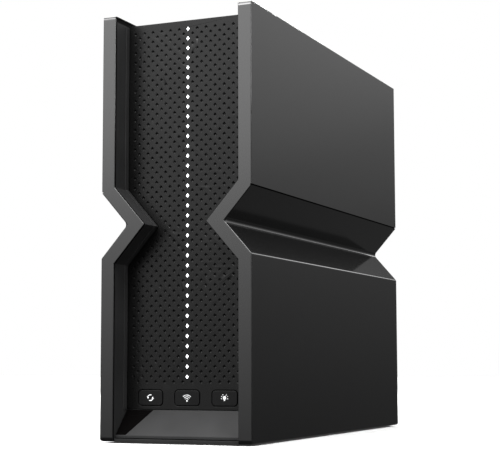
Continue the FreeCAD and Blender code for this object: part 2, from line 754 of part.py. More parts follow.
def make_shields():
    """The shield cans, the thermal pads on them, and the chips and ribbon socket of the board."""
    cans = []
    pads = []
    for index, (front, rear, low, high) in enumerate(shield_places(), 1):
        outer = block(f"can_{index}", ("board_left - 3", front, low), ("board_left", rear, high))
        inner_low = ("board_left - 2.7", f"{front} + 0.3", f"{low} + 0.3")
        inner_high = ("board_left", f"{rear} - 0.3", f"{high} - 0.3")
        cans.append(cut(f"shield_can_{index}", outer, [block(f"can_hollow_{index}", inner_low, inner_high)]))
        pad_low = ("board_left - 4", f"{front} + 4", f"{low} + 4")
        pad_high = ("board_left - 3", f"{rear} - 4", f"{high} - 4")
        pads.append(block(f"thermal_pad_{index}", pad_low, pad_high))
    group("shield_cans", cans)
    group("thermal_pads", pads)
    chips = [(-48, 166, 14), (22, 168, 14), (-34, 72, 24), (24, 66, 12), (24, 84, 12), (44, 66, 10)]
    packages = [
        block(
            f"chip_{index}",
            ("board_left - 1.4", f"{front}", f"{low}"),
            ("board_left", f"{front} + {side}", f"{low} + {side}"),
        )
        for index, (front, low, side) in enumerate(chips, 1)
    ]
    low = ("board_left - 3.6", "board_front + 5", "107")
    packages.append(block("ribbon_socket", low, ("board_left", "board_front + 9", "121")))
    group("board_components", packages)


def make_heat_sinks():
    """Two finned heat sinks over the shield cans, and the push pins that hold them to the board."""
    pins = []
    for name, low, high in (("upper_heat_sink", "144", "226"), ("lower_heat_sink", "46", "120")):
        body = new_body(name)
        plate = rectangle("fin_front", "sink_rear", low, high)
        pad(body, "plate", "YZ_Plane", [plate], "board_left - 7", "board_left - 4")
        fin = rectangle("fin_front", "fin_front + fin_wall", low, high)
        first = pad(body, "fin", "YZ_Plane", [fin], "board_left - 27", "board_left - 6.9")
        row_of(body, first, "Y_Axis", "fin_count", "fin_pitch")
        for y in ("fin_front + 5", "sink_rear - 5"):
            for z in (f"{low} + 4", f"{high} - 4"):
                start = ("board_left - 4", y, z)
                pins.append(rod(f"pin_{len(pins) + 1}", start, "1.5", "4", ALONG_X))
    group("heat_sink_pins", pins)


def make_power_parts():
    """Storage capacitors and coils near the inlet, and a transformer behind each network jack."""
    cans = []
    for index, (y, z) in enumerate(((80, 50), (92, 50), (80, 64), (92, 64)), 1):
        cans.append(rod(f"capacitor_{index}", ("board_left - 12", y, z), "4", "12", ALONG_X))
    group("capacitors", cans)
    magnetics = []
    for index, level in enumerate((34, 50), 1):
        low = ("board_left - 5", "101", f"{level}")
        magnetics.append(block(f"coil_{index}", low, ("board_left", "111", f"{level} + 10")))
    for index, level in enumerate(jack_levels(), 1):
        low = ("board_left - 6", "92", f"{level} - 6")
        magnetics.append(block(f"transformer_{index}", low, ("board_left", "106", f"{level} + 6")))
    group("board_magnetics", magnetics)


def make_antennas():
    """Eight strip antennas standing inside the covers, each held by a clip on the cover."""
    strips = []
    clips = []
    places = [(x, y, z) for x in (-1, 1) for y in (-96, 96) for z in (26, 182)]
    for index, (side, y, level) in enumerate(places, 1):
        inner, outer = sorted((side * 40.0, side * 40.8))
        low = (f"{inner}", f"{y} - 6", f"{level}")
        strips.append(block(f"antenna_{index}", low, (f"{outer}", f"{y} + 6", f"{level} + 52")))
        ends = ["40.8", "width/2 - wall"]
        inner, outer = ends if side > 0 else [f"-({end})" for end in ends[::-1]]
        low = (inner, f"{y} - 4", f"{level} + 20")
        clips.append(block(f"clip_{index}", low, (outer, f"{y} + 4", f"{level} + 32")))
    group("antenna_strips", strips)
    group("antenna_clips", clips)


def make_ribbon():
    """The flat cable from the lamp board to the front edge of the main board."""
    body = new_body("display_ribbon")
    start = f"({LAMP_BOARD} + board_wall)"
    turn = f"({start} + 5)"
    outline = [
        ("-6", start),
        ("-5.7", start),
        ("-5.7", f"{turn} - 0.3"),
        ("board_left - 2.4", f"{turn} - 0.3"),
        ("board_left - 2.4", "board_front + 5"),
        ("board_left - 2.7", "board_front + 5"),
        ("board_left - 2.7", turn),
        ("-6", turn),
    ]
    pad(body, "strip", "XY_Plane", [outline], "108", "120")


# ---------------------------------------------------------------- connectors at the rear


def jack_levels():
    """Heights of the five network jacks' centres, the uplink first."""
    return ["wan_level"] + [f"(lan_level + {index} * lan_pitch)" for index in range(4)]


def make_network_jack(name, level):
    """A network jack: a housing with the plug's socket and the keyway for the plug's latch."""
    body = new_body(name)
    half = "jack_width/2"
    outline = rectangle("board_left - jack_height", "board_left", f"{level} - {half}", f"{level} + {half}")
    pad(body, "housing", "XZ_Plane", [outline], "jack_back", "jack_mouth")
    half = "socket_width/2"
    socket = [
        ("socket_high", f"{level} - {half}"),
        ("socket_high", f"{level} + {half}"),
        ("socket_low", f"{level} + {half}"),
        ("socket_low", f"{level} + 3.1"),
        ("socket_low - 1.65", f"{level} + 3.1"),
        ("socket_low - 1.65", f"{level} - 3.1"),
        ("socket_low", f"{level} - 3.1"),
        ("socket_low", f"{level} - {half}"),
    ]
    pocket(body, "socket", "XZ_Plane", [socket], "socket_end", "jack_mouth")


def make_jack_contacts():
    """The eight contact wires along one wall of each network jack's socket."""
    wires = []
    for jack, level in enumerate(jack_levels(), 1):
        for index in range(8):
            centre = f"{level} + {index - 3.5} * 1.02"
            low = ("socket_high - 0.5", "socket_end", f"{centre} - 0.18")
            high = ("socket_high", "jack_mouth - 3", f"{centre} + 0.18")
            wires.append(block(f"wire_{jack}_{index + 1}", low, high))
    group("jack_contacts", wires)


def make_usb_socket():
    """The storage socket: a metal shell, and the tongue inside it."""
    shell = new_body("usb_socket")
    outer = rectangle("0.2", "6", "usb_level - 6.7", "usb_level + 6.7")
    pad(shell, "shell", "XZ_Plane", [outer], "114", "130.4")
    inner = rectangle("0.6", "5.6", "usb_level - 6.25", "usb_level + 6.25")
    pocket(shell, "mouth", "XZ_Plane", [inner], "118", "130.4")
    low = ("3.2", "118", "usb_level - 5.6")
    node(block("usb_tongue", low, ("5", "129", "usb_level + 5.6")), "usb_tongue")


def make_coax_connector():
    """The coaxial connector: threaded barrel, insulator, nut, and the tuner can behind it."""
    axis = ("-2", "coax_level")

    def turned(name, start, radius, length):
        return rod(name, (axis[0], start, axis[1]), radius, length, ALONG_Y)

    stub = turned("coax_stub", "118", "4.5", "14.7")
    thread = turned("coax_thread", "132.7", "4.76", "8.3")
    bore = turned("coax_bore", "131", "3.3", "11")
    node(cut("coax_barrel", fused("coax_turning", [stub, thread]), [bore]), "coax_barrel")
    core = turned("insulator_core", "131", "3.3", "9.4")
    hole = turned("insulator_hole", "133", "0.6", "9")
    node(cut("coax_insulator", core, [hole]), "coax_insulator")

    nut = new_body("coax_nut")
    sketch = new_sketch(nut, "hexagon", "XZ_Plane", "132.6")
    add_hexagon(sketch, *axis, "5.6")
    feature = nut.newObject("PartDesign::Pad", "hexagon_pad")
    feature.Profile = sketch
    bind(feature, Length=f"132.6 - {PORT_FACE}")
    doc.recompute()
    pocket(nut, "thread_hole", "XZ_Plane", [(*axis, "4.6")], PORT_FACE, "132.6")
    low = ("board_left - 14", "112", "coax_level - 13")
    node(block("tuner_can", low, ("board_left", "118", "coax_level + 13")), "tuner_can")


def add_hexagon(sketch, across, up, flat):
    """Adds a hexagon about a centre, with half its width across flats."""
    side = f"({flat} / cos(30))"
    turns = [(f"cos({angle})", f"sin({angle})") for angle in range(0, 360, 60)]
    add_polygon(sketch, [(f"{across} + {side} * {c}", f"{up} + {side} * {v}") for c, v in turns])


def make_power_inlet():
    """The direct-current inlet: a housing with a round nose, and the centre pin in its bore."""
    body = new_body("power_inlet")
    outline = rectangle("-5", "6", "inlet_level - 5.5", "inlet_level + 5.5")
    pad(body, "housing", "XZ_Plane", [outline], "113", f"{PORT_BACK} - 0.2")
    nose = [("0", "inlet_level", "3.8")]
    pad(body, "nose", "XZ_Plane", nose, f"{PORT_BACK} - 0.3", f"{PORT_FACE} + 0.4")
    bore = [("0", "inlet_level", "2.85")]
    pocket(body, "bore", "XZ_Plane", bore, "119", f"{PORT_FACE} + 0.4")
    pin = rod("inlet_pin", ("0", "119", "inlet_level"), "1", "10.5", ALONG_Y)
    node(pin, "inlet_pin")


def make_power_button():
    """The push-push power button with its stem, and the switch that it slides in."""
    cap = rod("power_cap", ("0", "126.2", "power_level"), "4.6", "5.8", ALONG_Y)
    stem = rod("power_stem", ("0", "119.5", "power_level"), "2", "7", ALONG_Y)
    node(fused("power_button", [cap, stem]), "power_button")
    case = block("power_case", ("-6.5", "108", "power_level - 6"), ("6", "124", "power_level + 6"))
    bore = rod("power_bore", ("0", "117.5", "power_level"), "2.3", "6.5", ALONG_Y)
    node(cut("power_switch", case, [bore]), "power_switch")


def make_reset_button():
    """The reset plunger behind its pinhole, and its switch."""
    node(rod("reset_plunger", ("3", "123.7", "reset_level"), "1.3", "2.6", ALONG_Y), "reset_plunger")
    case = block("reset_case", ("0", "121.5", "reset_level - 3"), ("6", "125", "reset_level + 3"))
    bore = rod("reset_bore", ("3", "123.2", "reset_level"), "1.6", "1.8", ALONG_Y)
    node(cut("reset_switch", case, [bore]), "reset_switch")


# ---------------------------------------------------------------- cooling fan


def at_fan(body):
    """Puts a body that was drawn about its own axis on the fan's axis, on the base plate."""
    place(body, "0", "fan_y", BASE_TOP)
    return body


def make_fan_frame():
    """The fan's square frame: duct, motor seat on three struts, bearing tube and screw holes."""
    body = at_fan(new_body("fan_frame"))
    half = "fan_size/2"
    pad(body, "square", "XY_Plane", [rectangle(f"-{half}", half, f"-{half}", half)], "0", "fan_wall")
    pocket(body, "duct", "XY_Plane", [("0", "0", "fan_bore")], "0", "fan_wall")
    pad(body, "seat", "XY_Plane", [("0", "0", "hub_radius")], "0", "2")
    strut = rectangle("hub_radius - 1", "fan_bore + 1", "-1.5", "1.5")
    first = pad(body, "strut", "XY_Plane", [strut], "0", "2")
    ring_of(body, first, 3)
    pad(body, "tube", "XY_Plane", [("0", "0", "4")], "1", "10")
    pocket(body, "tube_bore", "XY_Plane", [("0", "0", "2.5")], "2", "10")
    holes = [(f"{x}", f"{y}", "2.1") for x, y in fan_screw_places()]
    pocket(body, "screw_holes", "XY_Plane", holes, "0", "fan_wall")


def make_fan_motor():
    """The sleeve bearing in the tube and the stator winding round it."""
    bearing = at_fan(new_body("fan_bearing"))
    pad(bearing, "sleeve", "XY_Plane", [("0", "0", "2.5")], "2", "10")
    running = [("0", "0", "shaft_radius + shaft_clearance")]
    pocket(bearing, "running_bore", "XY_Plane", running, "2", "10")
    stator = at_fan(new_body("fan_stator"))
    pad(stator, "winding", "XY_Plane", [("0", "0", "10")], "3", "10")
    pocket(stator, "tube_seat", "XY_Plane", [("0", "0", "4")], "3", "10")


def make_fan_rotor():
    """The rotor: a hub cup with pitched blades, and the shaft pressed into it."""
    body = at_fan(new_body("fan_rotor"))
    pad(body, "hub", "XY_Plane", [("0", "0", "hub_radius")], "3.6", "13.6")
    pocket(body, "cup", "XY_Plane", [("0", "0", "hub_radius - 1.2")], "3.6", "11.8")
    pocket(body, "shaft_hole", "XY_Plane", [("0", "0", "shaft_radius")], "11.8", "13.6")
    blade = [("-5.2", "4"), ("-4", "4"), ("5.2", "13.2"), ("4", "13.2")]
    first = pad(body, "blade", "YZ_Plane", [blade], "hub_radius - 0.6", "blade_tip")
    ring_of(body, first, "blade_count")
    shaft = rod("fan_shaft", ("0", "fan_y", f"{BASE_TOP} + 2.6"), "shaft_radius", "11")
    node(shaft, "fan_shaft")


def fan_screw_places():
    """Places of the four fan screws, from the fan's axis."""
    return [(x, y) for x in (-25, 25) for y in (-25, 25)]


def make_fan_screws():
    """The four screws that hold the fan's frame down."""
    screws = []
    for index, (x, y) in enumerate(fan_screw_places(), 1):
        where = (f"{x}", f"fan_y + {y}")
        shank = rod(f"fan_shank_{index}", (*where, f"{BASE_TOP} - 1.2"), "1.8", "fan_wall + 1.2")
        head = rod(f"fan_head_{index}", (*where, f"{BASE_TOP} + fan_wall"), "3.4", "1.6")
        screws.append(fused(f"fan_screw_{index}", [shank, head]))
    group("fan_screws", screws)


# ---------------------------------------------------------------- check and export


def check_document():
    """Stops on any failed object or bad sub-part shape."""
    doc.recompute()
    for item in doc.Objects:
        if {"Invalid", "Error"} & set(item.State):
            raise RuntimeError(f"{item.Label} failed: {item.State}")
    for item in nodes:
        if item.Shape.isNull() or not item.Shape.isValid() or not item.Shape.Solids:
            raise RuntimeError(f"{item.Label} has no valid shape")


def export_nodes():
    """Writes each sub-part to parts/NODE.step."""
    os.makedirs("parts", exist_ok=True)
    for item in nodes:
        item.Shape.exportStep(os.path.join("parts", item.Label + ".step"))
    print(f"{len(nodes)} sub-parts written")


make_sheet()
meter = doc.addObject("App::FeaturePython", "Meter")
meter.addProperty("App::PropertyFloat", "Reading")

make_side_cover("left_side_cover", -1)
make_side_cover("right_side_cover", 1)
make_front_frame()
make_rear_frame()
make_front_grille()
make_chin()
make_base_plate()
make_feet()
make_top_vent()
make_rear_panel()
make_panel_screws()

make_light_column()
for key_name, key_index in (("pairing", -1), ("wireless", 0), ("lamp", 1)):
    make_front_key(key_name, key_index)
make_key_board()

make_chassis()
make_main_board()
make_board_screws()
make_shields()
make_heat_sinks()
make_power_parts()
make_antennas()
make_ribbon()

for jack_name, jack_level in zip(["wan_jack"] + [f"lan_jack_{n}" for n in range(1, 5)], jack_levels()):
    make_network_jack(jack_name, jack_level)
make_jack_contacts()
make_usb_socket()
make_coax_connector()
make_power_inlet()
make_power_button()
make_reset_button()

make_fan_frame()
make_fan_motor()
make_fan_rotor()
make_fan_screws()

check_document()
export_nodes()
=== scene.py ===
import logging
import math
from dataclasses import dataclass
from enum import Enum
from typing import Callable, Sequence

import bmesh
import bpy
from mathutils import Matrix, Vector


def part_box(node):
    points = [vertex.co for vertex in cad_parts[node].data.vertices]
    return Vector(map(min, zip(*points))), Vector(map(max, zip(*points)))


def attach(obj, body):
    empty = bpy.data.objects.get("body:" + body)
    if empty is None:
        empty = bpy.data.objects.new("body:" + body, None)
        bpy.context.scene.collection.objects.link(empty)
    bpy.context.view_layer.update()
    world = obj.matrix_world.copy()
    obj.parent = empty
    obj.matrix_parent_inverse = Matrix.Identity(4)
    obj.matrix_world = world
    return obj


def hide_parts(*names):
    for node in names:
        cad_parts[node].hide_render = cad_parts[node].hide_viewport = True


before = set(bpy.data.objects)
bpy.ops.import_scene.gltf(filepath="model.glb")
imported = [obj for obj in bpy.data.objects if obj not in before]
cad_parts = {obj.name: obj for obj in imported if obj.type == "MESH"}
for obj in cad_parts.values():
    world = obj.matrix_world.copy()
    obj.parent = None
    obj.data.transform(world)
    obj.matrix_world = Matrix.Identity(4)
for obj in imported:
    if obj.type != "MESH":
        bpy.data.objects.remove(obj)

LOG = logging.getLogger("gateway")
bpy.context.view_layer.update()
MM = 0.001
WELD = 1e-6  # points nearer than this are one point, in metres
SPARE = 1 * MM  # how far a cutter reaches past what it cuts
FLAT_ANGLE = math.radians(0.5)  # faces that meet at less are joined into one
SHARP_ANGLE = math.radians(30)  # edges over this are rounded
SMOOTH_ANGLE = math.radians(32)  # edges over this stay sharp in the shading
ALONG = 0.99  # an edge runs along an axis when its share of it is over this
SQUARE = 0.01  # and square to an axis when its share of it is under this
FACING = 0.5  # a face points along an axis when its normal's share of it is over this
NOISE_DETAIL = 3  # how many finer layers a noise pattern has
NOISE_RANGE = (0.3, 0.7)  # where most of a noise pattern's values fall

Colour = tuple[float, float, float]
Point2 = tuple[float, float]
Point3 = tuple[float, float, float]
Obj = bpy.types.Object
Mat = bpy.types.Material
Socket = bpy.types.NodeSocket


class Body(str, Enum):
    """The bodies of the frame that pieces ride on."""

    HOUSING = "housing"
    PAIRING = "pairing_key"
    WIRELESS = "wireless_key"
    LAMP = "lamp_key"
    POWER = "power_key"
    RESET = "reset_key"
    FAN = "fan_wheel"


class Grain(Enum):
    """How the fine surface texture of a finish runs."""

    EVEN = (1.0, 1.0, 1.0)
    DRAWN_ALONG_Y = (1.0, 0.04, 1.0)
    DRAWN_ALONG_Z = (1.0, 1.0, 0.04)


# ---------------------------------------------------------------- finishes


def fill_ramp(ramp: bpy.types.ColorRamp, stops: Sequence[tuple[float, Colour]]) -> None:
    """Sets the stops of a colour ramp.

    Args:
        ramp: the ramp, with two stops or fewer than it needs.
        stops: the position and the colour of each stop, in order.
    """
    elements = ramp.elements
    while len(elements) < len(stops):
        elements.new(0.5)
    for element, (position, colour) in zip(elements, stops):
        element.position = position
        element.color = (*colour, 1)


class Shader:
    """A material under construction, with its Principled BSDF at hand."""

    def __init__(self, name: str) -> None:
        """Starts a material with an empty node tree but for its shader and output.

        Args:
            name: the material's name.
        """
        self.material = bpy.data.materials.new(name)
        self.material.use_nodes = True
        self.nodes = self.material.node_tree.nodes
        self.links = self.material.node_tree.links
        self.bsdf = self.nodes["Principled BSDF"]
        self.place = self.nodes.new("ShaderNodeTexCoord").outputs["Object"]

    def set(self, **sockets: object) -> None:
        """Sets sockets of the shader, with underscores for the spaces in their names."""
        for name, value in sockets.items():
            self.bsdf.inputs[name.replace("_", " ")].default_value = value

    def mapped(self, stretch: Sequence[float]) -> Socket:
        """Object coordinates with each axis scaled.

        Args:
            stretch: the factor on each axis.
        Returns:
            The scaled coordinates.
        """
        node = self.nodes.new("ShaderNodeMapping")
        node.inputs["Scale"].default_value = stretch
        self.links.new(self.place, node.inputs["Vector"])
        return node.outputs["Vector"]

    def noise(self, size: float, stretch: Sequence[float]) -> Socket:
        """A noise pattern.

        Args:
            size: the size of one blotch, in metres.
            stretch: the scale on each axis.
        Returns:
            The pattern's value, about 0.5 on average.
        """
        node = self.nodes.new("ShaderNodeTexNoise")
        node.inputs["Scale"].default_value = 1 / size
        node.inputs["Detail"].default_value = NOISE_DETAIL
        self.links.new(self.mapped(stretch), node.inputs["Vector"])
        return node.outputs["Fac"]

    def ramp(self, factor: Socket, stops: Sequence[tuple[float, Colour]]) -> Socket:
        """Colours between stops, as a factor rises from 0 to 1.

        Args:
            factor: the factor.
            stops: the position and the colour of each stop, in order.
        Returns:
            The colour.
        """
        node = self.nodes.new("ShaderNodeValToRGB")
        fill_ramp(node.color_ramp, stops)
        self.links.new(factor, node.inputs["Fac"])
        return node.outputs["Color"]

    def spread(self, factor: Socket, low: float, high: float) -> Socket:
        """A noise pattern brought to a range of values.

        Args:
            factor: the pattern.
            low: the value at the low end of the noise range.
            high: the value at its high end.
        Returns:
            The value.
        """
        node = self.nodes.new("ShaderNodeMapRange")
        node.inputs["From Min"].default_value = NOISE_RANGE[0]
        node.inputs["From Max"].default_value = NOISE_RANGE[1]
        node.inputs["To Min"].default_value = low
        node.inputs["To Max"].default_value = high
        self.links.new(factor, node.inputs["Value"])
        return node.outputs["Result"]

    def bump(self, height: Socket, depth: float) -> None:
        """Bumps the surface by a pattern.

        Args:
            height: the pattern.
            depth: how far it is from low to high, in metres.
        """
        node = self.nodes.new("ShaderNodeBump")
        node.inputs["Strength"].default_value = 1.0
        node.inputs["Distance"].default_value = depth
        self.links.new(height, node.inputs["Height"])
        self.links.new(node.outputs["Normal"], self.bsdf.inputs["Normal"])

    def join(self, output: Socket, name: str) -> None:
        """Links an output to a named socket of the shader."""
        self.links.new(output, self.bsdf.inputs[name])


@dataclass(frozen=True)
class Finish:
    """A moulded, lacquered or metal finish with a fine grain and a little variation."""

    name: str
    colour: Colour
    roughness: float
    metallic: float = 0.0
    specular: float = 0.5
    coat: float = 0.0
    coat_roughness: float = 0.05
    grain_size: float = 0.5 * MM
    grain_depth: float = 0.01 * MM
    grain: Grain = Grain.EVEN
    colour_spread: float = 0.12
    gloss_spread: float = 0.12
    patch: float = 24 * MM
    glow: float = 0.0

    def material(self) -> Mat:
        """The finish as a material, built once.

        Returns:
            The material.
        """
        name = self.name + "_finish"
        known = bpy.data.materials.get(name)
        if known:
            return known
        shader = Shader(name)
        low = tuple(c * (1 - self.colour_spread) for c in self.colour)
        high = tuple(min(1.0, c * (1 + self.colour_spread)) for c in self.colour)
        cloud = shader.noise(self.patch, self.grain.value)
        shader.join(shader.ramp(cloud, list(zip(NOISE_RANGE, (low, high)))), "Base Color")
        gloss = [self.roughness * (1 + sign * self.gloss_spread) for sign in (-1, 1)]
        fine = shader.noise(self.grain_size, self.grain.value)
        shader.join(shader.spread(fine, *gloss), "Roughness")
        shader.bump(fine, self.grain_depth)
        shader.set(Metallic=self.metallic, Specular_IOR_Level=self.specular)
        shader.set(Coat_Weight=self.coat, Coat_Roughness=self.coat_roughness)
        if self.glow:
            shader.set(Emission_Color=(*self.colour, 1), Emission_Strength=self.glow)
        return shader.material


@dataclass(frozen=True)
class BoardFinish:
    """Solder mask with copper tracks showing through and tinned pads between them."""

    name: str
    mask: Colour
    track: Colour
    pad: Colour
    track_size: float = 2.2 * MM
    track_depth: float = 0.03 * MM
    levels: tuple[float, float, float, float] = (0.1, 0.16, 0.42, 0.5)
    roughness: float = 0.3
    coat: float = 0.4

    def material(self) -> Mat:
        """The finish as a material, built once.

        Returns:
            The material.
        """
        name = self.name + "_finish"
        known = bpy.data.materials.get(name)
        if known:
            return known
        shader = Shader(name)
        node = shader.nodes.new("ShaderNodeTexVoronoi")
        node.distance = "CHEBYCHEV"
        node.feature = "F1"
        node.inputs["Scale"].default_value = 1 / self.track_size
        shader.links.new(shader.mapped((1, 1, 1)), node.inputs["Vector"])
        stops = list(zip(self.levels, (self.pad, self.mask, self.mask, self.track)))
        shader.join(shader.ramp(node.outputs["Distance"], stops), "Base Color")
        shader.bump(node.outputs["Distance"], self.track_depth)
        shader.set(Roughness=self.roughness, Coat_Weight=self.coat)
        return shader.material


COVER = Finish(
    "cover_lacquer", (0.004, 0.004, 0.0041), 0.12, specular=0.62, grain_size=0.35 * MM,
    grain_depth=0.0012 * MM, colour_spread=0.06, gloss_spread=0.08,
)
LINING = Finish(
    "recess_lining", (0.018, 0.018, 0.0182), 0.5, specular=0.06, grain_depth=0.006 * MM,
)
# Painted shade: a dead black for the cut faces of the seam, the groove and the rebate, darker than
# the cover's own lacquer.
GROOVE_SHADE = Finish("groove_painted_shade", (0.002, 0.002, 0.002), 0.6, specular=0.03, grain_depth=0.006 * MM)
TRIM = Finish(
    "black_trim", (0.016, 0.016, 0.0165), 0.34, grain_size=0.6 * MM, grain_depth=0.006 * MM,
)
GRILLE = Finish(
    "grille_black", (0.0042, 0.0042, 0.0042), 0.30, specular=0.17, grain_size=0.45 * MM,
    grain_depth=0.003 * MM,
)
CHIN = Finish(
    "chin_graphite", (0.024, 0.024, 0.0243), 0.4, specular=0.05, gloss_spread=0.06,
    grain_size=2 * MM, grain_depth=0.002 * MM,
)
# Painted shade: a near-black, barely reflecting finish for the triangle at the chin's left end,
# where the left cover darkens the chin.
PAINTED_SHADE = Finish(
    "chin_gloss", (0.0015, 0.0013, 0.0013), 0.06, specular=0.04, gloss_spread=0.05,
    grain_size=4 * MM, grain_depth=0.0005 * MM,
)
KEY = Finish("key_gloss", (0.005, 0.005, 0.0051), 0.3, specular=0.13, grain_depth=0.002 * MM)
# White print; its faint glow is painted light that keeps the symbols bright in the recess.
PRINT_WITH_PAINTED_GLOW = Finish("white_print_painted_glow", (0.85, 0.86, 0.87), 0.5, colour_spread=0.02, glow=0.2)
LENS = Finish("lamp_lens", (0.95, 0.97, 1.0), 0.4, colour_spread=0.01, glow=1.6)
GUIDE = Finish("light_guide_acrylic", (0.80, 0.83, 0.85), 0.25, colour_spread=0.04)
REAR = Finish(
    "rear_moulding", (0.016, 0.016, 0.0165), 0.55, grain_size=0.35 * MM, grain_depth=0.03 * MM,
)
RUBBER = Finish(
    "foot_rubber", (0.020, 0.020, 0.020), 0.85, grain_size=0.25 * MM, grain_depth=0.03 * MM,
)
BLACK_SCREW = Finish("black_oxide_steel", (0.030, 0.030, 0.032), 0.35, metallic=0.85)
LAMP_BODY = Finish("lamp_body", (0.85, 0.80, 0.55), 0.4, colour_spread=0.1, patch=1 * MM, glow=0.6)
NYLON = Finish("natural_nylon", (0.72, 0.71, 0.66), 0.5)
SWITCH = Finish("switch_moulding", (0.022, 0.022, 0.022), 0.5)
CHASSIS = Finish("chassis_moulding", (0.12, 0.12, 0.12), 0.6, grain_depth=0.02 * MM)
TINPLATE = Finish(
    "tinned_steel", (0.55, 0.56, 0.55), 0.32, metallic=1.0, grain=Grain.DRAWN_ALONG_Z,
    grain_size=0.3 * MM,
)
PAD = Finish("thermal_pad", (0.32, 0.38, 0.50), 0.85, grain_size=0.3 * MM, grain_depth=0.04 * MM)
EPOXY = Finish("chip_epoxy", (0.020, 0.020, 0.022), 0.6, grain_size=0.2 * MM, grain_depth=0.02 * MM)
EXTRUSION = Finish(
    "extruded_aluminium", (0.62, 0.63, 0.65), 0.35, metallic=1.0, grain=Grain.DRAWN_ALONG_Z,
    grain_size=0.25 * MM,
)
CAN = Finish("capacitor_can", (0.08, 0.09, 0.16), 0.4, coat=0.3)
RIBBON = Finish(
    "ribbon_cable", (0.68, 0.68, 0.64), 0.5, grain=Grain.DRAWN_ALONG_Y, colour_spread=0.2,
)
UPLINK = Finish("jack_blue", (0.02, 0.09, 0.36), 0.42)
LOCAL = Finish("jack_yellow", (0.72, 0.42, 0.02), 0.42)
GOLD = Finish("gold_plate", (0.86, 0.60, 0.22), 0.22, metallic=1.0)
NICKEL = Finish("nickel_plate", (0.66, 0.64, 0.59), 0.24, metallic=1.0, grain_depth=0.004 * MM)
COPPER = Finish(
    "enamelled_winding", (0.55, 0.20, 0.06), 0.35, metallic=0.8, grain=Grain.DRAWN_ALONG_Y,
    grain_size=0.4 * MM, grain_depth=0.08 * MM, colour_spread=0.3,
)
STEEL = Finish("ground_steel", (0.60, 0.60, 0.60), 0.2, metallic=1.0)
FAN = Finish("fan_moulding", (0.018, 0.018, 0.018), 0.42)
BOARD = BoardFinish(
    "board_laminate", mask=(0.006, 0.055, 0.026), track=(0.014, 0.11, 0.05), pad=(0.60, 0.56, 0.45),
)

CAD_FINISHES: dict[Finish | BoardFinish, tuple[str, ...]] = {
    BOARD: ("lamp_board", "key_board", "main_board", "antenna_strips"),
    LAMP_BODY: ("indicator_lamps",),
    NYLON: (
        "pairing_plunger", "wireless_plunger", "lamp_plunger", "heat_sink_pins", "coax_insulator",
    ),
    SWITCH: ("key_switches", "power_switch", "reset_switch"),
    CHASSIS: ("chassis", "antenna_clips"),
    BLACK_SCREW: ("board_screws", "fan_screws"),
    TINPLATE: ("shield_cans", "tuner_can"),
    PAD: ("thermal_pads",),
    EPOXY: ("board_components", "board_magnetics"),
    EXTRUSION: ("upper_heat_sink", "lower_heat_sink"),
    CAN: ("capacitors",),
    RIBBON: ("display_ribbon",),
    GOLD: ("jack_contacts", "fan_bearing"),
    UPLINK: ("usb_tongue",),
    NICKEL: ("inlet_pin",),
    KEY: ("reset_plunger",),
    FAN: ("fan_frame", "fan_rotor"),
    COPPER: ("fan_stator",),
    STEEL: ("fan_shaft",),
}


# ---------------------------------------------------------------- mesh helpers


def new_object(name: str, mesh: bpy.types.Mesh, finish: Finish) -> Obj:
    """Links a mesh into the scene as an object with one finish.

    Args:
        name: the object's name.
        mesh: its mesh.
        finish: the finish for its first material slot.
    Returns:
        The object.
    """
    piece = bpy.data.objects.new(name, mesh)
    bpy.context.scene.collection.objects.link(piece)
    mesh.materials.clear()
    mesh.materials.append(finish.material())
    return piece


def merged(node: str) -> bmesh.types.BMesh:
    """A copy of a CAD node's mesh with its triangles joined into flat faces.

    Args:
        node: the node's name.
    Returns:
        The copy.
    """
    shape = bmesh.new()
    shape.from_mesh(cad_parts[node].data)
    bmesh.ops.remove_doubles(shape, verts=shape.verts, dist=WELD)
    bmesh.ops.dissolve_limit(
        shape, angle_limit=FLAT_ANGLE, verts=shape.verts, edges=shape.edges
    )
    return shape


def to_mesh(shape: bmesh.types.BMesh, name: str) -> bpy.types.Mesh:
    """Writes a bmesh to a new mesh and frees it.

    Args:
        shape: the bmesh.
        name: the mesh's name.
    Returns:
        The mesh.
    """
    mesh = bpy.data.meshes.new(name)
    shape.to_mesh(mesh)
    shape.free()
    return mesh


def soften(piece: Obj, width: float, segments: int = 2, weighted: bool = False) -> None:
    """Rounds a piece's edges and settles it.

    Args:
        piece: the piece.
        width: how wide the rounding is, in metres.
        segments: how many faces it has.
        weighted: rounds the edges that carry a bevel weight, and not all the sharp ones.
    """
    bevel = piece.modifiers.new("edge_rounding", "BEVEL")
    bevel.width = width
    bevel.segments = segments
    bevel.limit_method = "WEIGHT" if weighted else "ANGLE"
    bevel.angle_limit = SHARP_ANGLE
    bevel.use_clamp_overlap = False
    settle(piece)


def carve(piece: Obj, cutters: Sequence[bpy.types.Mesh]) -> None:
    """Takes closed shapes out of a piece and settles it.

    Args:
        piece: the piece.
        cutters: the shapes, whose finishes the cut faces take. They are removed.
    """
    tools = []
    for mesh in cutters:
        tool = bpy.data.objects.new("cutter", mesh)
        bpy.context.scene.collection.objects.link(tool)
        cut = piece.modifiers.new("cut", "BOOLEAN")
        cut.operation = "DIFFERENCE"
        cut.solver = "MANIFOLD"
        cut.material_mode = "TRANSFER"
        cut.object = tool
        tools.append(tool)
    settle(piece)
    for tool in tools:
        mesh = tool.data
        bpy.data.objects.remove(tool)
        bpy.data.meshes.remove(mesh)


def settle(piece: Obj) -> None:
    """Turns a piece's modifiers into plain mesh.

    Args:
        piece: the piece.
    """
    graph = bpy.context.evaluated_depsgraph_get()
    mesh = bpy.data.meshes.new_from_object(
        piece.evaluated_get(graph), preserve_all_data_layers=True, depsgraph=graph
    )
    piece.modifiers.clear()
    old = piece.data
    piece.data = mesh
    bpy.data.meshes.remove(old)
    mesh.name = piece.name


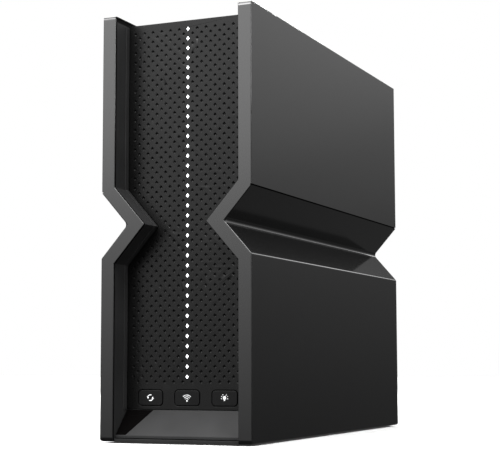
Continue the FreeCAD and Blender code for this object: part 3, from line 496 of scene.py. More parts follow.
def shade(piece: Obj) -> None:
    """Shades a piece smooth but for its sharp edges, led by its largest faces.

    Args:
        piece: the piece.
    """
    piece.data.polygons.foreach_set("use_smooth", [True] * len(piece.data.polygons))
    piece.data.set_sharp_from_angle(angle=SMOOTH_ANGLE)
    weighted = piece.modifiers.new("weighted_normals", "WEIGHTED_NORMAL")
    weighted.keep_sharp = True
    settle(piece)


def hand_over(piece: Obj, body: Body, slot: str, *nodes: str) -> None:
    """Shades a piece and says where it belongs.

    Args:
        piece: the piece.
        body: the body that it rides on.
        slot: the record's material slot; not used.
        nodes: the CAD nodes that it stands for.
    """
    shade(piece)
    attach(piece, body.value)
    if nodes:
        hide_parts(*nodes)
    LOG.info("%s rides on %s", piece.name, body.value)


def refined(
    node: str, finish: Finish, slot: str, width: float, body: Body = Body.HOUSING
) -> None:
    """Rebuilds a CAD node with joined faces and rounded edges.

    Args:
        node: the CAD node that the piece stands for.
        finish: its finish.
        slot: the record's material slot.
        width: how wide the rounding is, in metres.
        body: the body that it rides on.
    """
    piece = new_object(node + "_shell", to_mesh(merged(node), node), finish)
    soften(piece, width)
    hand_over(piece, body, slot, node)


def prism(shape: bmesh.types.BMesh, outline: Sequence[Point2], front: float, back: float) -> None:
    """Adds a closed prism along Y to a bmesh.

    Args:
        shape: the bmesh to add to.
        outline: corners across and up, counter-clockwise seen from the front.
        front: the level of the front face.
        back: the level of the back face.
    """
    ends = [[shape.verts.new((x, y, z)) for x, z in outline] for y in (front, back)]
    shape.faces.new(ends[0])
    shape.faces.new(ends[1][::-1])
    count = len(outline)
    for index in range(count):
        after = (index + 1) % count
        shape.faces.new((ends[0][after], ends[0][index], ends[1][index], ends[1][after]))


def arc(centre: Point2, radius: float, start: float, end: float, steps: int) -> list[Point2]:
    """Points on an arc, with angles in degrees from the +X direction."""
    angles = [math.radians(start + (end - start) * i / steps) for i in range(steps + 1)]
    return [(centre[0] + radius * math.cos(a), centre[1] + radius * math.sin(a)) for a in angles]


@dataclass(frozen=True)
class Hourglass:
    """The outline of the case: upright sides with a waist half way up."""

    half_width: float
    low: float
    high: float
    notch_depth: float = 17.7 * MM
    notch_half: float = 20.1 * MM

    @property
    def middle(self) -> float:
        """The level of the waist."""
        return (self.low + self.high) / 2

    @property
    def slant(self) -> float:
        """How far a slanted face moves across for each unit that it is inset."""
        return math.hypot(1, self.notch_depth / self.notch_half)

    def tip(self, inset: float) -> float:
        """How far the waist's tip is from the middle, at an inset."""
        return self.half_width - self.notch_depth - inset * self.slant

    def reach(self, inset: float) -> float:
        """Half the waist's height, at an inset."""
        return self.notch_half + inset * (self.slant - 1) * self.notch_half / self.notch_depth

    def side(self, inset: float, low: float, high: float) -> list[Point2]:
        """The right-hand side from its foot to its top.

        Args:
            inset: how far it is moved inwards.
            low: the level of its foot.
            high: the level of its top.
        Returns:
            Five points.
        """
        across = self.half_width - inset
        reach = self.reach(inset)
        return [
            (across, low),
            (across, self.middle - reach),
            (self.tip(inset), self.middle),
            (across, self.middle + reach),
            (across, high),
        ]

    def band(self, outside: float, inside: float, low: float, high: float) -> list[Point2]:
        """The closed outline of a band between two insets on the right-hand side."""
        return self.side(outside, low, high) + self.side(inside, low, high)[::-1]


# ---------------------------------------------------------------- geometry node trees


class Tree:
    """A geometry node tree under construction."""

    def __init__(self, name: str) -> None:
        """Starts a tree that takes and gives geometry.

        Args:
            name: the tree's name.
        """
        self.group = bpy.data.node_groups.new(name, "GeometryNodeTree")
        face = self.group.interface
        face.new_socket("Geometry", in_out="INPUT", socket_type="NodeSocketGeometry")
        face.new_socket("Geometry", in_out="OUTPUT", socket_type="NodeSocketGeometry")
        self.source = self.group.nodes.new("NodeGroupInput")
        self.sink = self.group.nodes.new("NodeGroupOutput")
        self.names: dict[str, str] = {}

    def size(self, name: str, kind: str = "NodeSocketFloat") -> Socket:
        """Adds a named input.

        Args:
            name: the input's name.
            kind: its socket type.
        Returns:
            Its socket inside the tree.
        """
        made = self.group.interface.new_socket(name, in_out="INPUT", socket_type=kind)
        self.names[name] = made.identifier
        return self.source.outputs[name]

    def add(self, kind: str, inputs: dict[str | int, object], **settings: object) -> Socket:
        """Adds a node.

        Args:
            kind: the node's type.
            inputs: a link or a value for each of its inputs.
            settings: a value for each of its properties.
        Returns:
            Its first output.
        """
        node = self.group.nodes.new(kind)
        for name, value in settings.items():
            setattr(node, name, value)
        for key, value in inputs.items():
            self.feed(value, node.inputs[key])
        return node.outputs[0]

    def feed(self, value: object, socket: Socket) -> None:
        """Links a socket, or sets its value.

        Args:
            value: another socket, or a plain value.
            socket: the socket.
        """
        if isinstance(value, bpy.types.NodeSocket):
            self.group.links.new(value, socket)
        else:
            socket.default_value = value

    def math(self, operation: str, *terms: object) -> Socket:
        """The result of a Math node on numbers or sockets."""
        return self.add("ShaderNodeMath", dict(enumerate(terms)), operation=operation)

    def finish(self, geometry: Socket, material: Socket) -> None:
        """Ends the tree in Realize Instances and Set Material.

        Args:
            geometry: the geometry.
            material: its material.
        """
        real = self.add("GeometryNodeRealizeInstances", {"Geometry": geometry})
        dressed = self.add("GeometryNodeSetMaterial", {"Geometry": real, "Material": material})
        self.feed(dressed, self.sink.inputs[0])

    def attach(self, piece: Obj, values: dict[str, object]) -> None:
        """Puts the tree on an object as a modifier, and settles it.

        Args:
            piece: the object.
            values: a value for each named input.
        """
        modifier = piece.modifiers.new(self.group.name, "NODES")
        modifier.node_group = self.group
        for name, value in values.items():
            modifier[self.names[name]] = value
        settle(piece)


def dimple_tree() -> Tree:
    """A tree that sinks staggered four-sided dimples into a plate that faces -Y.

    Returns:
        The tree.
    """
    tree = Tree("dimple_lattice")
    pitch = tree.size("Pitch")
    columns = tree.size("Columns", "NodeSocketInt")
    rows = tree.size("Rows", "NodeSocketInt")
    first = tree.size("First Row")
    face = tree.size("Face")
    reach = tree.size("Half Width")
    waist = tree.size("Waist Depth")
    waist_half = tree.size("Waist Half Height")
    middle = tree.size("Waist Level")
    radius = tree.size("Dimple Radius")
    depth = tree.size("Dimple Depth")
    floor = tree.size("Dimple Floor")
    proud = tree.size("Cutter Proud")
    strip = tree.size("Clear Strip")
    material = tree.size("Material", "NodeSocketMaterial")

    index = tree.add("GeometryNodeInputIndex", {})
    row = tree.math("FLOOR", tree.math("DIVIDE", index, columns))
    column = tree.math("SUBTRACT", index, tree.math("MULTIPLY", row, columns))
    shift = tree.math("MULTIPLY", tree.math("SUBTRACT", 1.0, tree.math("MODULO", row, 2.0)), 0.5)
    centred = tree.math("SUBTRACT", column, tree.math("FLOOR", tree.math("DIVIDE", columns, 2.0)))
    across = tree.math("MULTIPLY", tree.math("ADD", centred, shift), pitch)
    half_pitch = tree.math("MULTIPLY", pitch, 0.5)
    up = tree.math("ADD", first, tree.math("MULTIPLY", row, half_pitch))
    place = tree.add("ShaderNodeCombineXYZ", {"X": across, "Y": face, "Z": up})
    points = tree.add(
        "GeometryNodePoints", {"Count": tree.math("MULTIPLY", rows, columns), "Position": place}
    )

    distance = tree.math("ABSOLUTE", tree.math("SUBTRACT", up, middle))
    nearness = tree.math("SUBTRACT", 1.0, tree.math("DIVIDE", distance, waist_half))
    share = tree.math("MAXIMUM", nearness, 0.0)
    limit = tree.math("SUBTRACT", reach, tree.math("MULTIPLY", share, waist))
    off = tree.math("ABSOLUTE", across)
    outside = tree.math("GREATER_THAN", off, limit)
    on_column = tree.math("LESS_THAN", off, tree.math("MULTIPLY", pitch, strip))
    dropped = tree.math("MAXIMUM", outside, on_column)
    kept = tree.add(
        "GeometryNodeDeleteGeometry", {"Geometry": points, "Selection": dropped}, domain="POINT"
    )

    deep = tree.math("MULTIPLY", radius, floor)
    cutter = tree.add(
        "GeometryNodeMeshCone",
        {"Vertices": 4, "Radius Top": deep, "Radius Bottom": radius, "Depth": depth},
    )
    back = tree.math("MULTIPLY", depth, tree.math("MULTIPLY", proud, -1.0))
    forward = tree.add("ShaderNodeCombineXYZ", {"Z": back})
    sunk = tree.add("GeometryNodeTransform", {"Geometry": cutter, "Translation": forward})
    turned = tree.add(
        "GeometryNodeTransform", {"Geometry": sunk, "Rotation": (math.radians(-90), 0, 0)}
    )
    placed = tree.add("GeometryNodeInstanceOnPoints", {"Points": kept, "Instance": turned})
    cutters = tree.add("GeometryNodeRealizeInstances", {"Geometry": placed})
    plate = tree.add(
        "GeometryNodeMeshBoolean",
        {"Mesh 1": tree.source.outputs[0], "Mesh 2": cutters},
        operation="DIFFERENCE",
        solver="MANIFOLD",
    )
    tree.finish(plate, material)
    return tree


def lens_tree() -> Tree:
    """A tree that stacks diamond-shaped lenses up a column, each facing -Y.

    Returns:
        The tree.
    """
    tree = Tree("lens_column")
    count = tree.size("Count", "NodeSocketInt")
    pitch = tree.size("Pitch")
    foot = tree.size("Foot", "NodeSocketVector")
    half_width = tree.size("Half Width")
    half_height = tree.size("Half Height")
    thickness = tree.size("Thickness")
    material = tree.size("Material", "NodeSocketMaterial")
    step = tree.add("ShaderNodeCombineXYZ", {"Z": pitch})
    column = tree.add(
        "GeometryNodeMeshLine",
        {"Count": count, "Start Location": foot, "Offset": step},
        mode="OFFSET",
    )
    blank = tree.add(
        "GeometryNodeMeshCone",
        {"Vertices": 4, "Radius Top": 1.0, "Radius Bottom": 1.0, "Depth": thickness},
    )
    facing = tree.add(
        "GeometryNodeTransform", {"Geometry": blank, "Rotation": (math.radians(90), 0, 0)}
    )
    size = tree.add("ShaderNodeCombineXYZ", {"X": half_width, "Y": 1.0, "Z": half_height})
    lens = tree.add("GeometryNodeTransform", {"Geometry": facing, "Scale": size})
    placed = tree.add("GeometryNodeInstanceOnPoints", {"Points": column, "Instance": lens})
    tree.finish(placed, material)
    return tree


# ---------------------------------------------------------------- sub-assemblies


@dataclass
class Covers:
    """The two side covers: hollow trays with the hourglass skin, rims and rounded edges.

    The rebate is between two levels, each measured down from the top.
    """

    rim: float = 8.7 * MM
    wall: float = 2.2 * MM
    leg_wall: float = 1.6 * MM
    leg_front: float = 13 * MM
    leg_rear: float = 7 * MM
    leg_top: float = 4 * MM
    crease: float = 2.6 * MM
    shoulder: float = 0.6 * MM
    seam: float = 0.8 * MM
    seam_depth: float = 0.9 * MM
    groove: float = 1.2 * MM
    groove_set: float = 0.5 * MM
    rebate: tuple[float, float] = (3.6 * MM, 0.6 * MM)
    corner: float = 1.4 * MM
    edge: float = 0.4 * MM
    rim_edge: float = 0.55 * MM
    inner_edge: float = 0.3 * MM
    crease_segments: int = 5

    def build(self) -> None:
        """Makes both covers."""
        for side, node in ((-1, "left_side_cover"), (1, "right_side_cover")):
            self.cover(side, node)

    def cover(self, side: int, node: str) -> None:
        """Makes one cover.

        Args:
            side: -1 for the left one and 1 for the right one.
            node: the CAD node that it stands for.
        """
        low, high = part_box(node)
        outline = Hourglass(max(abs(low.x), abs(high.x)), low.z, high.z)
        blank = bmesh.new()
        prism(blank, outline.band(0, self.rim, low.z, high.z), low.y, high.y)
        self.weigh(blank, outline, low, high)
        meshes = []
        for shape, finish in [(blank, COVER), *self.cutters(outline, low, high)]:
            if side < 0:
                bmesh.ops.scale(shape, vec=(-1, 1, 1), verts=shape.verts)
            bmesh.ops.recalc_face_normals(shape, faces=shape.faces)
            meshes.append(to_mesh(shape, node))
            meshes[-1].materials.append(finish.material())
        piece = new_object(node + "_shell", meshes[0], COVER)
        soften(piece, self.crease, self.crease_segments, weighted=True)
        carve(piece, meshes[1:])
        self.line(piece, outline)
        hand_over(piece, Body.HOUSING, "cover_satin", node)

    def cutters(
        self, outline: Hourglass, low: Vector, high: Vector
    ) -> list[tuple[bmesh.types.BMesh, Finish]]:
        """What is cut out of the blank of a right-hand cover.

        Args:
            outline: the cover's outline.
            low: its lowest corner.
            high: its highest corner.
        Returns:
            The hollow, the mouth towards the case, the seam, the groove and the rebate, each with
            the finish of its faces.
        """
        hollow = outline.band(
            self.wall, self.rim - self.leg_wall, low.z + self.wall, high.z - self.wall
        )
        mouth = outline.band(
            self.wall + SPARE, self.rim + SPARE, low.z + self.leg_top, high.z - self.leg_top
        )
        shoulder = outline.middle + outline.notch_half
        seam = self.oblong(
            (outline.half_width - self.seam_depth, outline.half_width + SPARE),
            (shoulder, shoulder + self.seam),
        )
        groove = outline.band(
            self.rim - self.seam_depth, self.rim + SPARE, low.z - SPARE, high.z + SPARE
        )
        inner = outline.half_width - self.rim
        rebate = self.oblong(
            (inner - SPARE, inner + self.seam_depth / 2),
            (high.z - self.rebate[0], high.z - self.rebate[1]),
        )
        groove_front = low.y + self.groove_set
        rows = (
            (hollow, low.y + self.wall, high.y - self.wall, LINING),
            (mouth, low.y + self.leg_front, high.y - self.leg_rear, LINING),
            # the seam, groove and rebate are real cuts; their faces take painted shade
            (seam, low.y - SPARE, high.y + SPARE, GROOVE_SHADE),
            (groove, groove_front, groove_front + self.groove, GROOVE_SHADE),
            (rebate, groove_front, high.y + SPARE, GROOVE_SHADE),
        )
        shapes = []
        for corners, front, back, finish in rows:
            shape = bmesh.new()
            prism(shape, corners, front, back)
            shapes.append((shape, finish))
        return shapes

    def line(self, piece: Obj, outline: Hourglass) -> None:
        """Gives the faces of a cover that look into the recess the lining's finish.

        Args:
            piece: the cover.
            outline: its outline.
        """
        order = [material.name for material in piece.data.materials]
        cover, lining = (order.index(finish.material().name) for finish in (COVER, LINING))
        for polygon in piece.data.polygons:
            inside = not self.is_outer(outline, polygon.center)
            aside = abs(polygon.normal.y) < FACING
            if polygon.material_index == cover and inside and aside:
                polygon.material_index = lining

    def oblong(self, across: Point2, up: Point2) -> list[Point2]:
        """The corners of an oblong between two limits across and two limits up."""
        return [(across[0], up[0]), (across[1], up[0]), (across[1], up[1]), (across[0], up[1])]

    def weigh(
        self, shape: bmesh.types.BMesh, outline: Hourglass, low: Vector, high: Vector
    ) -> None:
        """Gives each edge of a blank its bevel weight, as a share of the crease's rounding.

        Args:
            shape: the blank.
            outline: the cover's outline.
            low: its lowest corner.
            high: its highest corner.
        """
        layer = shape.edges.layers.float.new("bevel_weight_edge")
        for edge in shape.edges:
            a, b = (vert.co for vert in edge.verts)
            middle = (a + b) / 2
            along = (b - a).normalized()
            outer = self.is_outer(outline, middle)
            if abs(along.x) > ALONG:
                width = self.crease
            elif abs(along.y) < SQUARE:
                width = self.rim_edge if outer else self.inner_edge
            elif not outer:
                width = self.inner_edge
            elif abs(middle.z - outline.middle) < self.edge:
                width = self.crease
            elif abs(middle.z - low.z) < self.edge:
                width = self.corner
            elif abs(middle.z - high.z) < self.edge:
                width = self.edge
            else:
                width = self.shoulder
            edge[layer] = width / self.crease

    def is_outer(self, outline: Hourglass, point: Vector) -> bool:
        """Tells the outside of a cover from its side towards the recess.

        Args:
            outline: the cover's outline.
            point: a point on its surface.
        Returns:
            True for a point on the outside.
        """
        share = max(0.0, 1 - abs(point.z - outline.middle) / outline.notch_half)
        skin = outline.half_width - outline.notch_depth * share
        return abs(point.x) > skin - self.rim / 2


@dataclass
class Case:
    """The frames and the plain panels between the covers."""

    trim_edge: float = 0.22 * MM
    panel_edge: float = 0.18 * MM
    chin_edge: float = 0.35 * MM
    foot_edge: float = 0.35 * MM
    # where the chin's triangle of painted shade ends, along its top and along its foot, from the
    # left end
    painted_shade_top: float = 18.6 * MM
    painted_shade_foot: float = 5.4 * MM

    def build(self) -> None:
        """Makes every part of the case but the covers."""
        refined("front_frame", LINING, "black_trim", self.trim_edge)
        refined("rear_frame", TRIM, "black_trim", self.trim_edge)
        refined("base_plate", LINING, "black_trim", self.panel_edge)
        refined("top_vent", TRIM, "black_trim", self.panel_edge)
        refined("rear_panel", REAR, "rear_black", self.panel_edge)
        refined("rubber_feet", RUBBER, "foot_rubber", self.foot_edge)
        self.chin()

    def chin(self) -> None:
        """Makes the sloped chin, with a near-black triangle of painted shade at its left end."""
        low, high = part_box("chin_panel")
        piece = new_object("chin_panel_shell", to_mesh(merged("chin_panel"), "chin_panel"), CHIN)
        piece.data.materials.append(PAINTED_SHADE.material())
        soften(piece, self.chin_edge, segments=3)
        shape = bmesh.new()
        shape.from_mesh(piece.data)
        # the diagonal that bounds the painted shade triangle on the slope
        top = Vector((low.x + self.painted_shade_top, low.y, high.z))
        foot = Vector((low.x + self.painted_shade_foot, low.y, low.z))
        across = (top - foot).cross(Vector((0, 1, 0))).normalized()
        geometry = shape.verts[:] + shape.edges[:] + shape.faces[:]
        bmesh.ops.bisect_plane(shape, geom=geometry, plane_co=foot, plane_no=across)
        # slope faces left of the diagonal take the painted shade finish
        for face in shape.faces:
            centre = face.calc_center_median()
            left = (centre - foot).dot(across) * across.x < 0
            slope = face.normal.y < -FACING and face.normal.z > FACING
            face.material_index = int(left and slope)
        shape.to_mesh(piece.data)
        shape.free()
        hand_over(piece, Body.HOUSING, "chin_gloss", "chin_panel")


@dataclass
class LightColumn:
    """The dimpled grille and the lights that shine through it.

    A dimple's floor is a share of its mouth, and its cutter stands proud of the plate by a share
    of its depth. The strip kept clear on each side of the lights is a share of their pitch.
    """

    lamp_count: int = 36
    lamp_half: float = 0.6 * MM
    dimple_columns: int = 13
    dimple_radius: float = 1.45 * MM
    dimple_depth: float = 1.2 * MM
    dimple_floor: float = 0.45
    cutter_proud: float = 0.12
    clear_strip: float = 0.25
    margin: float = 2.2 * MM
    plate_edge: float = 0.25 * MM
    top_edge: float = 0.9 * MM
    # top faces of the grille that rise steeper than this take the painted highlight
    top_slope: float = 0.2
    tip_depth: float = 0.25 * MM
    lens_half: tuple[float, float] = (0.95 * MM, 1.25 * MM)
    lens_depth: float = 0.2 * MM

    def build(self) -> None:
        """Makes the grille plate, the light guide and the lenses."""
        self.grille()
        self.guide()
        self.lenses()

    def lamp_levels(self) -> tuple[float, float]:
        """Where the lamps are.

        Returns:
            The level of the lowest lamp, and the pitch.
        """
        low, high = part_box("indicator_lamps")
        first = low.z + self.lamp_half
        return first, (high.z - self.lamp_half - first) / (self.lamp_count - 1)

    def grille(self) -> None:
        """Makes the grille plate with its dimples."""
        low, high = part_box("front_grille")
        first, pitch = self.lamp_levels()
        shape = merged("front_grille")
        layer = shape.edges.layers.float.new("bevel_weight_edge")
        for edge in shape.edges:
            ends = [vert.co for vert in edge.verts]
            top = all(abs(end.z - high.z) < WELD and abs(end.y - low.y) < WELD for end in ends)
            sharp = edge.calc_face_angle(0.0) > SHARP_ANGLE
            edge[layer] = 1.0 if top else sharp * self.plate_edge / self.top_edge
        piece = new_object("grille_plate", to_mesh(shape, "grille_plate"), GRILLE)
        soften(piece, self.top_edge, segments=3, weighted=True)
        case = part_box("right_side_cover")
        outline = Hourglass(case[1].x, case[0].z, case[1].z)
        inset = outline.half_width - high.x + self.margin
        dimple_tree().attach(
            piece,
            {
                "Pitch": pitch,
                "Columns": self.dimple_columns,
                "Rows": 2 * self.lamp_count,
                "First Row": first - pitch / 2,
                "Face": low.y,
                "Half Width": outline.half_width - inset,
                "Waist Depth": outline.half_width - inset - outline.tip(inset),
                "Waist Half Height": outline.reach(inset),
                "Waist Level": outline.middle,
                "Dimple Radius": self.dimple_radius,
                "Dimple Depth": self.dimple_depth,
                "Dimple Floor": self.dimple_floor,
                "Cutter Proud": self.cutter_proud,
                "Clear Strip": self.clear_strip,
                "Material": GRILLE.material(),
            },
        )
        # Painted highlight: the top bevel faces take the lighter, glossier trim finish, so the
        # grille's top edge shows a light line.
        piece.data.materials.append(TRIM.material())
        for polygon in piece.data.polygons:
            if polygon.normal.z > self.top_slope and polygon.center.z > high.z - self.top_edge:
                polygon.material_index = 1
        hand_over(piece, Body.HOUSING, "grille_black", "front_grille")

    def lenses(self) -> None:
        """Makes the glowing diamonds on the tips of the light guide's pins."""
        first, pitch = self.lamp_levels()
        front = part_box("light_guide")[0].y
        piece = new_object("lamp_lenses", bpy.data.meshes.new("lamp_lenses"), LENS)
        lens_tree().attach(
            piece,
            {
                "Count": self.lamp_count,
                "Pitch": pitch,
                "Foot": (0.0, front, first),
                "Half Width": self.lens_half[0],
                "Half Height": self.lens_half[1],
                "Thickness": self.lens_depth,
                "Material": LENS.material(),
            },
        )
        hand_over(piece, Body.HOUSING, "lamp_lens")

    def guide(self) -> None:
        """Makes the light guide, with a dark mask on its tips."""
        mesh = to_mesh(merged("light_guide"), "light_guide_bar")
        piece = new_object("light_guide_bar", mesh, GUIDE)
        mesh.materials.append(GRILLE.material())
        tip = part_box("light_guide")[0].y + self.tip_depth
        for polygon in mesh.polygons:
            polygon.material_index = int(polygon.center.y < tip)
        hand_over(piece, Body.HOUSING, "lamp_lens", "light_guide")


@dataclass
class Keys:
    """The three front keys, with a printed symbol on each whose sizes are in millimetres.

    A span is from one angle to another, in degrees. A ring's corner is a radius and an angle.
    """

    proud: float = 0.02 * MM
    edge: float = 0.4 * MM
    wave_foot: Point2 = (0.0, -1.7)
    wave_dot: float = 0.45
    wave_radii: tuple[float, ...] = (1.35, 2.45, 3.55)
    wave_half: float = 0.15
    wave_span: Point2 = (42, 138)
    arrow_turns: Point2 = (65.0, 245.0)
    arrow_radii: Point2 = (2.0, 1.5)
    arrow_sweep: float = 100
    arrow_head: tuple[Point2, ...] = ((2.5, 98), (1.75, 140), (1.0, 98))
    bulb_centre: Point2 = (0.0, 0.3)
    bulb_radius: float = 1.1
    bulb_span: Point2 = (-55, 235)
    bulb_cap: tuple[Point2, ...] = ((-0.5, -1.5), (0.5, -1.5), (0.5, -0.85), (-0.5, -0.85))
    ray_angles: tuple[float, ...] = (-15, 22, 58, 122, 158, 195)
    ray_foot: Point2 = (1.75, 5)
    ray_tip: Point2 = (2.45, 3.6)

    def build(self) -> None:
        """Makes the three keys and their symbols."""
        rows: list[tuple[str, Body, Callable[[], list[list[Point2]]]]] = [
            ("pairing", Body.PAIRING, self.arrows),
            ("wireless", Body.WIRELESS, self.waves),
            ("lamp", Body.LAMP, self.bulb),
        ]
        for name, body, outlines in rows:
            node = name + "_button"
            refined(node, KEY, "key_black", self.edge, body)
            low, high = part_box(node)
            centre = ((low.x + high.x) / 2, (low.z + high.z) / 2)
            shape = bmesh.new()
            for outline in outlines():
                points = [(centre[0] + x * MM, centre[1] + z * MM) for x, z in outline]
                prism(shape, points, low.y - self.proud, low.y + 2 * self.proud)
            bmesh.ops.recalc_face_normals(shape, faces=shape.faces)
            # the symbols are white print with a painted glow
            piece = new_object(name + "_symbol", to_mesh(shape, name + "_symbol"), PRINT_WITH_PAINTED_GLOW)
            hand_over(piece, body, "lamp_lens")

    def waves(self) -> list[list[Point2]]:
        """Three arcs over a dot.

        Returns:
            The outline of each, from the key's centre.
        """
        start, end = self.wave_span
        shapes = [arc(self.wave_foot, self.wave_dot, 0, 330, 11)]
        for radius in self.wave_radii:
            outer = arc(self.wave_foot, radius + self.wave_half, start, end, 12)
            inner = arc(self.wave_foot, radius - self.wave_half, end, start, 12)
            shapes.append(outer + inner)
        return shapes

    def arrows(self) -> list[list[Point2]]:
        """Two arrows that chase each other round a circle.

        Returns:
            The outline of each shaft and head, from the key's centre.
        """
        centre = (0.0, 0.0)
        shapes = []
        for turn in self.arrow_turns:
            end = turn + self.arrow_sweep
            outer = arc(centre, self.arrow_radii[0], turn, end, 10)
            inner = arc(centre, self.arrow_radii[1], end, turn, 10)
            shapes.append(outer + inner)
            corners = [(radius, turn + angle) for radius, angle in self.arrow_head]
            shapes.append([arc(centre, radius, angle, angle, 1)[0] for radius, angle in corners])
        return shapes

    def bulb(self) -> list[list[Point2]]:
        """A lamp with rays.

        Returns:
            The outline of its glass, cap and rays, from the key's centre.
        """
        shapes = [arc(self.bulb_centre, self.bulb_radius, *self.bulb_span, 16), list(self.bulb_cap)]
        for angle in self.ray_angles:
            (foot, wide), (tip, narrow) = self.ray_foot, self.ray_tip
            inner = arc(self.bulb_centre, foot, angle - wide, angle + wide, 1)
            outer = arc(self.bulb_centre, tip, angle + narrow, angle - narrow, 1)
            shapes.append(inner + outer)
        return shapes


@dataclass
class Connectors:
    """What shows on the rear: jacks, sockets, buttons and screws."""

    jack_edge: float = 0.2 * MM
    socket_edge: float = 0.1 * MM
    barrel_edge: float = 0.15 * MM
    nut_edge: float = 0.2 * MM
    inlet_edge: float = 0.25 * MM
    button_edge: float = 0.4 * MM
    screw_edge: float = 0.3 * MM

    def build(self) -> None:
        """Makes the rear pieces."""
        refined("wan_jack", UPLINK, "jack_uplink", self.jack_edge)
        for index in range(1, 5):
            refined(f"lan_jack_{index}", LOCAL, "jack_local", self.jack_edge)
        refined("usb_socket", TINPLATE, "shield_steel", self.socket_edge)
        refined("coax_barrel", NICKEL, "connector_nickel", self.barrel_edge)
        refined("coax_nut", NICKEL, "connector_nickel", self.nut_edge)
        refined("power_inlet", SWITCH, "switch_black", self.inlet_edge)
        refined("power_button", KEY, "key_black", self.button_edge, Body.POWER)
        refined("panel_screws", BLACK_SCREW, "screw_steel", self.screw_edge)


def dress_cad_nodes() -> None:
    """Gives each CAD node that still shows its own finish."""
    for finish, nodes in CAD_FINISHES.items():
        for node in nodes:
            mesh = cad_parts[node].data
            mesh.materials.clear()
            mesh.materials.append(finish.material())


# ---------------------------------------------------------------- stage


@dataclass(frozen=True)
class Glow:
    """A soft glow of the studio round one direction, which fades with the angle from it.

    Its axis has an azimuth from +Y towards +X and an elevation, in degrees. Its profile is pairs
    of an angle's cosine and a share of its strength.
    """

    azimuth: float
    elevation: float
    strength: float
    profile: tuple[Point2, ...]

    def level(self, nodes: bpy.types.Nodes, links: bpy.types.NodeLinks) -> Socket:
        """Adds the glow's nodes to the world.

        Args:
            nodes: the world's nodes.
            links: the world's links.
        Returns:
            The glow's level.
        """
        across, up = math.radians(self.azimuth), math.radians(self.elevation)
        axis = (math.sin(across) * math.cos(up), math.cos(across) * math.cos(up), math.sin(up))
        direction = nodes.new("ShaderNodeTexCoord").outputs["Generated"]
        dot = nodes.new("ShaderNodeVectorMath")
        dot.operation = "DOT_PRODUCT"
        links.new(direction, dot.inputs[0])
        dot.inputs[1].default_value = axis
        ramp = nodes.new("ShaderNodeValToRGB")
        fill_ramp(ramp.color_ramp, [(cosine, (share,) * 3) for cosine, share in self.profile])
        links.new(dot.outputs["Value"], ramp.inputs["Fac"])
        scale = nodes.new("ShaderNodeMath")
        scale.operation = "MULTIPLY"
        links.new(ramp.outputs["Color"], scale.inputs[0])
        scale.inputs[1].default_value = self.strength
        return scale.outputs[0]


@dataclass(frozen=True)
class SoftBox:
    """A rectangular lamp of the studio, with its place, what it points at, its size and power."""

    name: str
    place: Point3
    aim: Point3
    size: Point2
    power: float

    def build(self) -> None:
        """Makes the lamp."""
        light = bpy.data.lights.new(self.name, "AREA")
        light.shape = "RECTANGLE"
        light.size, light.size_y = self.size
        light.energy = self.power
        box = bpy.data.objects.new(self.name, light)
        box.location = self.place
        ahead = Vector(self.aim) - Vector(self.place)
        box.rotation_euler = ahead.to_track_quat("-Z", "Y").to_euler()
        bpy.context.scene.collection.objects.link(box)


GLOWS = (
    Glow(
        30, 35, 1.0,
        (
            (0.55, 0.08), (0.70, 0.055), (0.78, 0.067), (0.80, 0.087), (0.832, 0.13),
            (0.853, 0.17), (0.883, 0.29), (0.895, 0.40), (0.936, 0.70), (0.97, 1.0), (1.0, 1.0),
        ),
    ),
    Glow(
        208, 40, 5.0,
        (
            (0.50, 0.0), (0.66, 0.015), (0.72, 0.075), (0.738, 0.115), (0.769, 0.175),
            (0.807, 0.275), (0.84, 0.41), (0.848, 0.49), (0.871, 0.63), (0.903, 0.75),
            (0.95, 0.87), (1.0, 1.0),
        ),
    ),
    Glow(0, 90, 1.2, ((0.5, 0.0), (0.8, 0.5), (1.0, 1.0))),
    Glow(10, 18, 2.4, ((0.9955, 0.0), (0.998, 1.0))),
    Glow(112, 8, 4.0, ((0.98, 0.0), (0.99, 1.0))),
    Glow(117, 58, 20.0, ((0.982, 0.0), (0.99, 1.0))),
    Glow(235, 62, 5.0, ((0.93, 0.0), (0.98, 1.0))),
)
SOFT_BOXES = (
    SoftBox("top_box", (0.1, 0.1, 1.2), (0, 0, 0.1), (0.9, 0.9), 8.0),
    SoftBox("front_box", (-0.02, -0.34, 0.46), (0, -0.13, 0.24), (0.2, 0.12), 0.95),
    SoftBox("side_box", (0.62, -0.40, 0.42), (0, -0.135, 0.02), (0.2, 0.2), 2.5),
    SoftBox("rear_box", (-0.6, 1.0, 0.7), (0, 0.14, 0.14), (0.7, 0.5), 20.0),
)


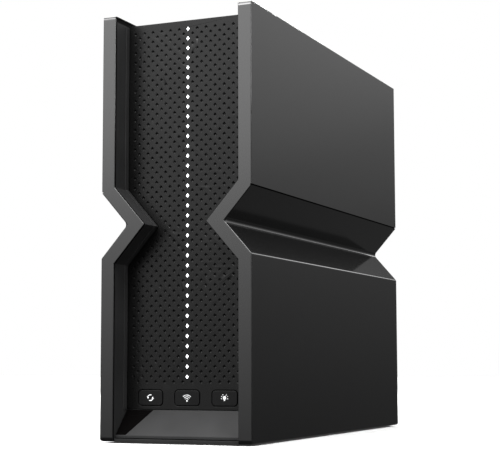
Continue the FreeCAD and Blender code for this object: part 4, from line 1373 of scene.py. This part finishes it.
@dataclass
class Stage:
    """The floor, the world and the camera, whose turns are in degrees."""

    camera_place: Point3 = (0.35960, -0.86424, 0.04658)
    yaw: float = -23.272
    pitch: float = 5.896
    roll: float = -0.116
    lens: float = 97.52
    nearest: float = 0.01
    floor_size: float = 8.0
    floor_level: float = -0.1 * MM
    floor_white: float = 0.58
    floor_roughness: float = 0.9
    floor_specular: float = 0.1
    floor_glow: float = 0.04

    def build(self) -> None:
        """Sets the stage and its lights."""
        self.floor()
        self.world()
        for box in SOFT_BOXES:
            box.build()
        self.camera()

    def floor(self) -> None:
        """A plain pale floor, which mirrors and bounces nothing onto the object."""
        half = self.floor_size / 2
        mesh = bpy.data.meshes.new("floor")
        corners = ((-half, -half), (half, -half), (half, half), (-half, half))
        mesh.from_pydata([(*corner, self.floor_level) for corner in corners], [], [(0, 1, 2, 3)])
        floor = bpy.data.objects.new("floor", mesh)
        bpy.context.scene.collection.objects.link(floor)
        shader = Shader("pale_floor")
        shader.set(Base_Color=(*(self.floor_white,) * 3, 1), Roughness=self.floor_roughness)
        shader.set(Specular_IOR_Level=self.floor_specular)
        shader.set(Emission_Color=(1, 1, 1, 1), Emission_Strength=self.floor_glow)
        mesh.materials.append(shader.material)
        floor.visible_glossy = False
        floor.visible_diffuse = False

    def world(self) -> None:
        """White to the camera, and to the object a dark room with the soft glows in it."""
        world = bpy.data.worlds.new("studio")
        world.use_nodes = True
        bpy.context.scene.world = world
        nodes, links = world.node_tree.nodes, world.node_tree.links
        total = None
        for glow in GLOWS:
            level = glow.level(nodes, links)
            if total is None:
                total = level
                continue
            add = nodes.new("ShaderNodeMath")
            links.new(total, add.inputs[0])
            links.new(level, add.inputs[1])
            total = add.outputs[0]
        lit = nodes["Background"]
        lit.inputs["Color"].default_value = (1, 1, 1, 1)
        links.new(total, lit.inputs["Strength"])
        seen = nodes.new("ShaderNodeBackground")
        seen.inputs["Color"].default_value = (1, 1, 1, 1)
        mix = nodes.new("ShaderNodeMixShader")
        path = nodes.new("ShaderNodeLightPath")
        links.new(path.outputs["Is Camera Ray"], mix.inputs[0])
        links.new(lit.outputs[0], mix.inputs[1])
        links.new(seen.outputs[0], mix.inputs[2])
        links.new(mix.outputs[0], nodes["World Output"].inputs["Surface"])

    def camera(self) -> None:
        """The camera, low and to the right, looking a little up."""
        data = bpy.data.cameras.new("camera")
        data.lens = self.lens
        data.clip_start = self.nearest
        camera = bpy.data.objects.new("camera", data)
        yaw, pitch = math.radians(self.yaw), math.radians(self.pitch)
        level = math.cos(pitch)
        ahead = Vector((math.sin(yaw) * level, math.cos(yaw) * level, math.sin(pitch)))
        turn = ahead.to_track_quat("-Z", "Y").to_matrix().to_4x4()
        spin = Matrix.Rotation(math.radians(self.roll), 4, "Z")
        camera.matrix_world = Matrix.Translation(self.camera_place) @ turn @ spin
        bpy.context.scene.collection.objects.link(camera)
        bpy.context.scene.camera = camera


def main() -> None:
    """Builds the sub-assemblies in order, then the stage."""
    logging.basicConfig(level=logging.INFO, format="%(name)s: %(message)s")
    bpy.context.scene.view_settings.view_transform = "Standard"
    for part in (Covers(), Case(), LightColumn(), Keys(), Connectors()):
        LOG.info("building %s", type(part).__name__)
        part.build()
    dress_cad_nodes()
    Stage().build()


if __name__ == "__main__":
    main()
